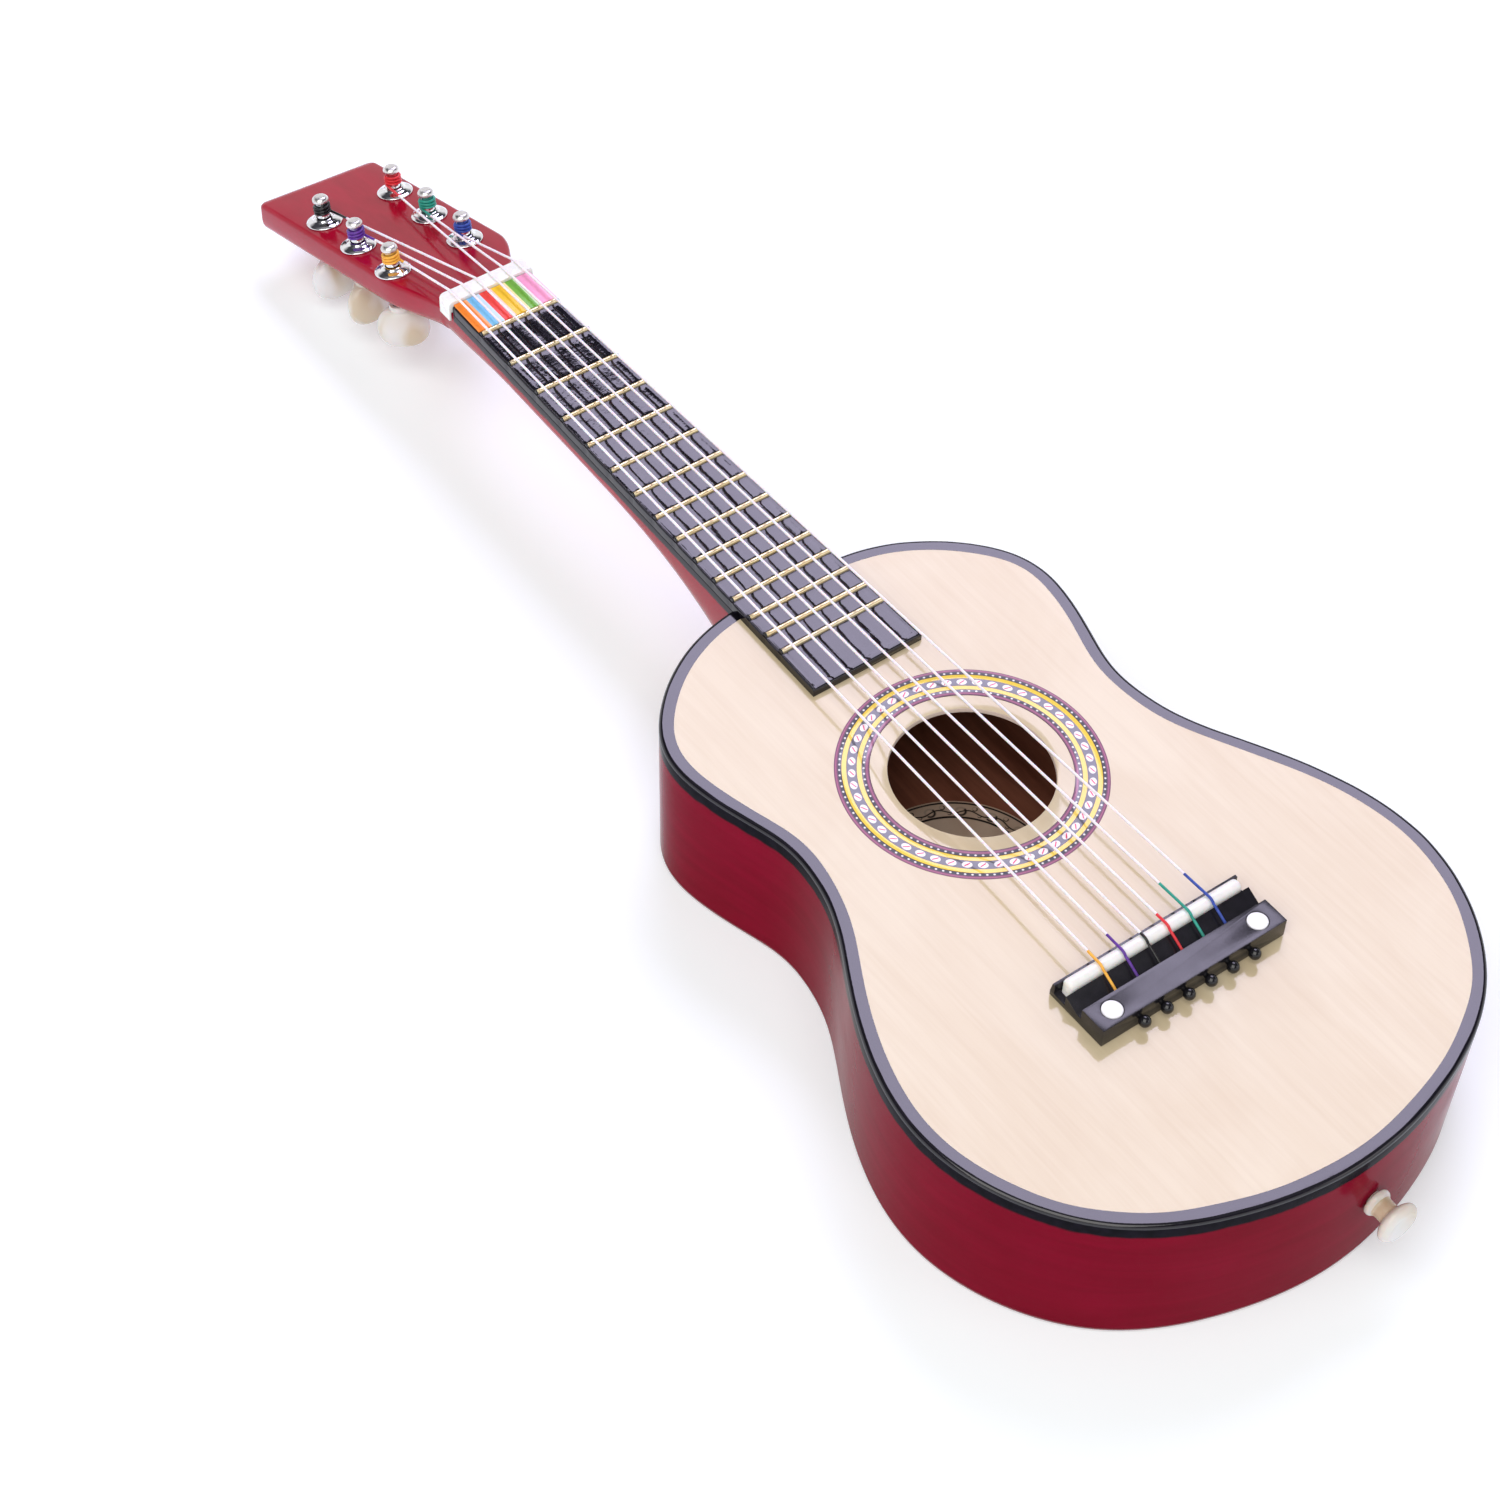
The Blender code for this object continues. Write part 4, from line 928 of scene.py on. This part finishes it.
def make_neck():
    buried = 0.0032
    sections = []

    def add(*shape):
        sections.append(neck_section(*shape))

    heel_steps = 36
    for k in range(heel_steps + 1):
        y = BODY_END - buried + (HEEL_LENGTH + buried) * (k / heel_steps) ** 1.4
        add(y, board_half_width(y), TOP, neck_depth(y), NECK_EDGE, PROFILE_POWER)
    head_depth = HEAD_DEPTH / math.cos(HEAD_ANGLE)
    blend_steps = 14
    for k in range(blend_steps + 1):
        share = k / blend_steps
        y = NUT_BACK - NECK_TO_HEAD * (1 - share)
        depth = NECK_DEPTH + (HEAD_STEP + head_depth - NECK_DEPTH) * ease(share)
        add(y, board_half_width(min(y, SCALE_LENGTH)), TOP, depth, NECK_EDGE, PROFILE_POWER)
    flare_steps = 26
    for k in range(flare_steps + 1):
        share = k / flare_steps
        y = NUT_BACK + NECK_EDGE + HEAD_FLARE * share
        edge = NECK_EDGE + (HEAD_EDGE - NECK_EDGE) * ease(2 * share)
        power = PROFILE_POWER + (HEAD_POWER - PROFILE_POWER) * ease(share)
        add(y, head_half_width(y), head_face(y), head_depth, edge, power, HEAD_SKEW * ease(share))
    for y in np.linspace(NUT_BACK + HEAD_FLARE, HEAD_TIP - HEAD_CORNER, 10)[1:-1]:
        add(y, HEAD_WIDTH / 2, head_face(y), head_depth, HEAD_EDGE, HEAD_POWER, HEAD_SKEW)
    for sine, cosine in quarter(10):
        y = HEAD_TIP - HEAD_CORNER * (1 - sine)
        width = HEAD_WIDTH / 2 - HEAD_CORNER * (1 - cosine)
        shrink = HEAD_EDGE * (1 - cosine)
        add(y, width, head_face(y) - shrink, head_depth - 2 * shrink, HEAD_EDGE, HEAD_POWER, HEAD_SKEW)
    mesh = loft("neck_and_head", sections)
    piece = finish_mesh(mesh, [CHERRY_NECK], 50.0)
    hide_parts("neck")


def make_fingerboard():
    """The board under its thick lacquer, which pools against the frets and swells along the edges."""
    low = TOP
    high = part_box("fingerboard")[1][2]
    edge = 0.0008
    fret_half = 0.0009
    fret_boxes = [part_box("fret_%02d" % number) for number in range(1, FRET_COUNT + 1)]
    wires = [(near[1] + far[1]) / 2 for near, far in fret_boxes]
    draw = np.random.default_rng(11)
    waves = [(draw.uniform(250, 900), draw.uniform(-260, 260), draw.uniform(0, 6.28)) for _ in range(14)]
    swell = 0.00022
    start = BOARD_END
    end = NUT_FRONT - GAP
    ys = set(np.linspace(start, end, 200).tolist())
    for wire in wires:
        for off in (fret_half, 0.0011, 0.0014, 0.0018, 0.0023, 0.003):
            for side in (-1, 1):
                y = wire - ORIGIN_Y + side * off
                if start < y < end:
                    ys.add(y)
    for off in (0.0001, 0.0002, 0.0004, 0.0006, 0.0008, 0.0012, 0.0018):
        ys.add(start + off)
    rings = []
    for y in sorted(ys):
        half = board_half_width(y) - 0.0001
        near_end = y - start
        drop = edge - math.sqrt(max(edge * edge - (edge - near_end) ** 2, 0.0)) if near_end < edge else 0.0
        gap_to_wire = max(min(abs(place(y) - wire) for wire in wires) - fret_half, 0.0)
        meniscus = swell * math.exp(-gap_to_wire / 0.0005)
        end_lip = 0.0001 * math.exp(-((near_end - 0.0016) / 0.0006) ** 2)
        bead = swell * math.exp(-gap_to_wire / 0.0012)
        section = [(-half, low)]
        section += [(-half + edge * (1 - cosine), high - edge + edge * sine) for sine, cosine in quarter(5)]
        across = [-half + d for d in (0.0012, 0.0016, 0.002, 0.0025, 0.0032)]
        inner = np.linspace(-half + 0.004, half - 0.004, 30).tolist()
        section += [(x, high) for x in across + inner + [-x for x in across[::-1]]]
        section += [(-x, z) for x, z in section[6::-1]]
        ring = []
        for x, z in section:
            inward = half - abs(x)
            if z > high - 1e-6:
                wave = sum(math.sin(a * x + b * y + c) for a, b, c in waves) * 0.00001
                groove = -0.00011 * math.exp(-((inward - 0.0021 - 3 * wave) / 0.0005) ** 2)
                z = min(z + groove + wave - swell + meniscus + end_lip, high)
            if inward < 1e-4 and z > low:
                x -= math.copysign(bead, x)
            ring.append((x, place(y), max(z - drop * (z > low), low)))
        rings.append(ring)
    mesh = loft("fingerboard_lacquered", rings)
    piece = finish_mesh(mesh, [LACQUER], 70.0)
    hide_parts("fingerboard")


def make_frets():
    """Domed brass wires, their ends buried in lacquer."""
    round_end = 0.0012
    for number in range(1, FRET_COUNT + 1):
        node = "fret_%02d" % number
        low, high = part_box(node)
        y = (low[1] + high[1]) / 2
        half = (high[1] - low[1]) / 2
        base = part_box("fingerboard")[1][2] - 0.0002
        height = high[2] - base
        rings = []
        reach = high[0]
        stations = [-reach, -reach + 0.0002, -reach + 0.0006]
        stations += list(np.linspace(-reach + round_end, reach - round_end, 12))
        stations += [reach - 0.0006, reach - 0.0002, reach]
        for x in stations:
            near = min(reach - abs(x), round_end) / round_end
            tall = height * (0.45 + 0.55 * math.sqrt(1 - (1 - near) ** 2))
            ring = [(x, y - half, base)]
            for k in range(11):
                angle = math.pi * k / 10
                up = 0.0001 + (tall - 0.0001) * math.sin(angle) ** 0.8
                ring.append((x, y - half * math.cos(angle), base + up))
            ring.append((x, y + half, base))
            rings.append(ring)
        last = len(rings) - 2
        mesh = loft("fret_wire_%02d" % number, rings, lambda i: 1 if i < 2 or i > last - 2 else 0)
        piece = finish_mesh(mesh, [BRASS, LACQUER])
        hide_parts(node)


def make_sticker():
    piece = eased_copy("colour_bands", "colour_strip", [STICKER], 0.00008, 2)


def make_nut():
    piece = eased_copy("moulded_nut", "nut", [WHITE], 0.0015, 6)


# ---- bridge
def make_bridge():
    piece = eased_copy("moulded_bridge", "bridge", [BLACK_PLASTIC], 0.00028, 3)


def make_saddle():
    low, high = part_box("saddle")
    half = (high[1] - low[1]) / 2
    y = (high[1] + low[1]) / 2
    reach = high[0]
    rings = []
    ends = [(0.0, 0.0012), (0.0002, 0.0006), (0.0006, 0.0002), (0.0012, 0.0)]
    stations = [(-reach + a, b) for a, b in ends]
    stations += [(x, 0.0) for x in np.linspace(-reach + 0.003, reach - 0.003, 14)]
    stations += [(reach - a, b) for a, b in ends[::-1]]
    for x, shrink in stations:
        width = half - shrink
        top = high[2] - shrink
        ring = [(x, y - width, low[2])]
        for k in range(17):
            angle = math.pi * k / 16
            ring.append((x, y - width * math.cos(angle), top - width + width * math.sin(angle)))
        ring.append((x, y + width, low[2]))
        rings.append(ring)
    mesh = loft("rounded_saddle", rings)
    piece = finish_mesh(mesh, [WHITE], 50.0)
    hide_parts("saddle")


def make_pearls():
    for label in ("bass", "treble"):
        low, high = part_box("bridge_pearl_" + label)
        radius = (high[0] - low[0]) / 2
        thick = high[2] - low[2]
        profile = [(0.0001, 0.0), (radius, 0.0), (radius, 0.6 * thick)]
        for sine, cosine in quarter(8)[1:]:
            profile.append((radius - 0.0006 * (1 - cosine), (0.6 + 0.32 * sine) * thick))
        profile += [(radius * 0.5, 0.97 * thick), (0.0001, thick)]
        centre = ((low[0] + high[0]) / 2, (low[1] + high[1]) / 2, low[2])
        mesh = lathe("pearl_disc_" + label, profile, 64, Matrix.Translation(centre))
        piece = finish_mesh(mesh, [PEARL])
        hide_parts("bridge_pearl_" + label)


# ---- tuning pegs
def peg_frames():
    """Each peg's frame: its origin on the head's face, z along its own axis."""
    out = []
    for number in range(1, 7):
        joint = next(j for j in frame["record"]["behaviour"]["joints"] if j["name"] == "peg_%d_turn" % number)
        axis = Vector(joint["axis"]).normalized()
        side = Vector((1, 0, 0))
        turn = Matrix((side, axis.cross(side), axis)).transposed().to_4x4()
        out.append(Matrix.Translation(joint["pos_m"]) @ turn)
    return out


PEG_FRAMES = peg_frames()


def knob_rings(matrix, steps=48):
    """The collar and the flattened paddle, from the head's back down."""
    top = -HEAD_DEPTH - 2 * GAP
    collar = COLLAR_RADIUS
    collar_height = COLLAR_HEIGHT
    socket = 0.0028
    rings = []

    def ring(across, through, z):
        loop = []
        for k in range(steps):
            angle = 2 * math.pi * k / steps
            loop.append(matrix @ Vector((across * math.cos(angle), through * math.sin(angle), z)))
        rings.append(loop)

    ring(socket, socket, top - KNOB_SOCKET)
    ring(socket, socket, top - 0.0001)
    ring(collar - 0.0002, collar - 0.0002, top)
    ring(collar, collar, top - 0.0003)
    ring(collar, collar, top - collar_height + GAP)
    paddle = KNOB_HEIGHT - collar_height
    paddle_steps = 34
    for k in range(2, paddle_steps):
        angle = math.pi * k / paddle_steps
        swell = math.sin(angle) ** 0.62
        least = collar if k < 5 else collar / 6
        through = max(KNOB_THICKNESS / 2 * swell, least)
        across = max(KNOB_WIDTH / 2 * swell, least)
        ring(across * 0.995, through * 0.99, top - collar_height - paddle * (1 - math.cos(angle)) / 2)
    ring(0.0006, 0.0003, top - KNOB_HEIGHT + 0.00002)
    return rings


def make_pegs():
    for number, matrix in enumerate(PEG_FRAMES, start=1):
        body = "peg_%d" % number
        low = -HEAD_DEPTH - 2 * GAP - KNOB_SOCKET + GAP
        neckline = FERRULE_HEIGHT + GAP
        cap_low = PEG_HEIGHT - PEG_CAP_HEIGHT
        profile = [(0.0001, low), (PEG_SHAFT, low), (PEG_SHAFT, neckline), (PEG_WAIST, neckline + 0.0004),
                   (PEG_WAIST, cap_low), (PEG_CAP, cap_low + 0.0004), (PEG_CAP, PEG_HEIGHT - 0.0011),
                   (PEG_CAP * 0.72, PEG_HEIGHT), (0.0001, PEG_HEIGHT)]
        profile = rounded(profile, 0.0008, 5)
        slots = []
        for (r1, z1), (r2, _) in zip(profile, profile[1:]):
            on_cap = (r1 + r2) / 2 > PEG_WAIST + 0.0001 and z1 > cap_low or z1 >= PEG_HEIGHT - 0.0012
            slots.append(int(on_cap))
        mesh = lathe("chrome_post_%d" % number, profile, 48, matrix, slots)
        piece = finish_mesh(mesh, [CHROME, CAP_METAL], 30.0, body)
        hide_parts("tuner_post_%d" % number)

        turned = matrix @ Matrix.Rotation(math.radians(KNOB_ANGLES[number - 1]), 4, "Z")
        mesh = loft("ivory_knob_%d" % number, knob_rings(turned))
        piece = finish_mesh(mesh, [IVORY], 50.0, body)
        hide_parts("tuner_knob_%d" % number)

        bore = 0.0029
        wide = FERRULE_RADIUS
        ring = [(bore, 0.0001), (wide, 0.0001), (wide, 0.0006), (wide * 0.9, 0.0011), (wide * 0.62, 0.0016),
                (wide * 0.5, FERRULE_HEIGHT - 0.0001), (bore, FERRULE_HEIGHT)]
        ring = rounded(ring, 0.00045, 4)
        mesh = lathe("chrome_ferrule_%d" % number, ring, 64, matrix, ring=True)
        piece = finish_mesh(mesh, [CHROME], 40.0)
        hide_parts("tuner_ferrule_%d" % number)


# ---- strings
# where each string's colour ends, along the scale
COLOUR_ENDS = (-0.007, -0.0055, -0.0111, -0.0083, 0.0006, -0.001)
NYLON_SLOT, COLOUR_SLOT, BALL_SLOT = range(3)
BALL_STEPS = 16
TURN_STEPS = 24


def string_path(number):
    """Point, radius and material slot from the ball end over saddle and nut to the winding."""
    path = []

    def add(point, slot, radius=STRING_RADIUS):
        path.append((tuple(point), radius, slot))

    x_low = (number - 3.5) * STRING_SPACING_BRIDGE
    x_high = (number - 3.5) * STRING_SPACING_NUT
    hole_z = TOP + STRING_HOLE_HEIGHT
    knot = 0.0009
    ball_y = BRIDGE_BACK - GAP - BALL_RADIUS
    for k in range(1, BALL_STEPS):
        angle = math.pi * (1 - k / BALL_STEPS)
        least = 0.0003 if k < BALL_STEPS / 2 else knot
        add((x_low, place(ball_y + BALL_RADIUS * math.cos(angle)), hole_z), BALL_SLOT,
            max(BALL_RADIUS * math.sin(angle), least))
    add((x_low, place(BRIDGE_BACK - 0.0001), hole_z), BALL_SLOT, knot)

    lift = STRING_RADIUS + GAP * 0.5
    crest = TOP + SADDLE_HEIGHT + lift
    lead = Vector((x_low, place(TIE_BLOCK_FRONT + 0.0002), hole_z + 0.0001))
    shoulder = Vector((x_low, place(SADDLE_PLACE) - 0.0019, crest - 0.0009))
    add((x_low, place(TIE_BLOCK_FRONT - 0.004), hole_z), COLOUR_SLOT)
    for k in range(5):
        add(lead.lerp(shoulder, k / 5), COLOUR_SLOT)
    over = SADDLE_WIDTH / 2 + lift
    for angle in (56, 42, 28, 14, 0):
        turn = math.radians(angle)
        sink = over * (1 - math.cos(turn))
        add((x_low, place(SADDLE_PLACE) - over * math.sin(turn), crest - sink), COLOUR_SLOT)

    over_nut = TOP + NUT_HEIGHT + lift
    start = Vector((x_low, place(SADDLE_PLACE), crest))
    end = Vector((x_high, place(NUT_FRONT + 0.0005), over_nut))
    split = (place(COLOUR_ENDS[number - 1]) - start.y) / (end.y - start.y)
    coloured = [split * k / 3 for k in range(1, 4)] + [split + 0.0002]
    for share in sorted(set(coloured + list(np.linspace(0.05, 1.0, 20)))):
        add(start.lerp(end, share), COLOUR_SLOT if share < split else NYLON_SLOT)
    add((x_high, place(NUT_FRONT + 0.004), over_nut), NYLON_SLOT)

    # the winding, entered on the inner side
    base = PEG_FRAMES[number - 1].translation
    side = -1 if number <= 3 else 1
    axis = Vector((0, math.sin(HEAD_ANGLE), math.cos(HEAD_ANGLE)))
    along = Vector((0, axis.z, -axis.y))
    radius = PEG_WAIST + 0.00018 + STRING_RADIUS
    leave = Vector((x_high, place(NUT_BACK - 0.0004), over_nut - 0.0002))
    first = base + axis * WINDING_START + Vector((-side * radius, 0, 0))
    for k in range(8):
        add(leave.lerp(first, k / 8), COLOUR_SLOT if k > 6 else NYLON_SLOT)
    for k in range(WINDING_TURNS * TURN_STEPS + 1):
        angle = 2 * math.pi * k / TURN_STEPS
        height = WINDING_START + WINDING_PITCH * k / TURN_STEPS
        centre = base + axis * height
        sideways = Vector((-side * radius * math.cos(angle), 0, 0))
        add(centre + sideways + along * radius * math.sin(angle), COLOUR_SLOT, STRING_RADIUS * 1.12)
    return path


def make_strings():
    for number in range(1, 7):
        points, radii, slots = zip(*string_path(number))
        mesh = loft("tied_string_%d" % number, tube(points, radii, 14), lambda i: slots[i])
        materials = [NYLON, STRING_COLOURS[number - 1], BALL]
        piece = finish_mesh(mesh, materials, 60.0)
        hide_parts("string_%d" % number)


# ---- strap button
def make_strap_button():
    low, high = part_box("strap_button")
    x = (low[0] + high[0]) / 2
    z = (low[2] + high[2]) / 2
    radius = (high[0] - low[0]) / 2
    tip = low[1]
    length = BUTTON_LENGTH
    profile = [(0.0001, length), (radius * 0.8, length), (radius, length - 0.0016), (radius, length - 0.0031),
               (radius * 0.78, length - 0.0044), (BUTTON_NECK, length - 0.0052), (BUTTON_NECK, 0.0032),
               (0.0049, 0.0021), (0.005, 0.0004), (BUTTON_SHANK, 0.0002), (BUTTON_SHANK, -0.0108),
               (0.0001, -0.0109)]
    smooth = rounded(profile, 0.0009, 5)
    # the neck between head and base takes the tan material, which is painted shade in the groove
    slots = []
    for (_, h1), (_, h2) in zip(smooth, smooth[1:]):
        middle = (h1 + h2) / 2
        slots.append(1 if 0.003 < middle < length - 0.0046 else 0)
    turn = Matrix.Translation((x, tip + length, z)) @ Matrix.Rotation(math.pi / 2, 4, "X")
    mesh = lathe("turned_strap_button", smooth, 72, turn, slots)
    piece = finish_mesh(mesh, [IVORY, TAN], 30.0)
    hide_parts("strap_button")


def finish_hidden():
    """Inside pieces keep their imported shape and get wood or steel."""
    wooden = ("neck_block", "tail_block", "upper_brace", "back_brace", "bridge_plate")
    for node in (*wooden, "bridge_screw_bass", "bridge_screw_treble"):
        materials = frame["nodes"][node].data.materials
        materials.clear()
        materials.append(SOFTWOOD if node in wooden else STEEL)


make_soundboard()
make_side()
make_back()
make_rosette()
make_label()
make_neck()
make_fingerboard()
make_frets()
make_sticker()
make_nut()
make_bridge()
make_saddle()
make_pearls()
make_pegs()
make_strings()
make_strap_button()
finish_hidden()

bpy.context.view_layer.update()
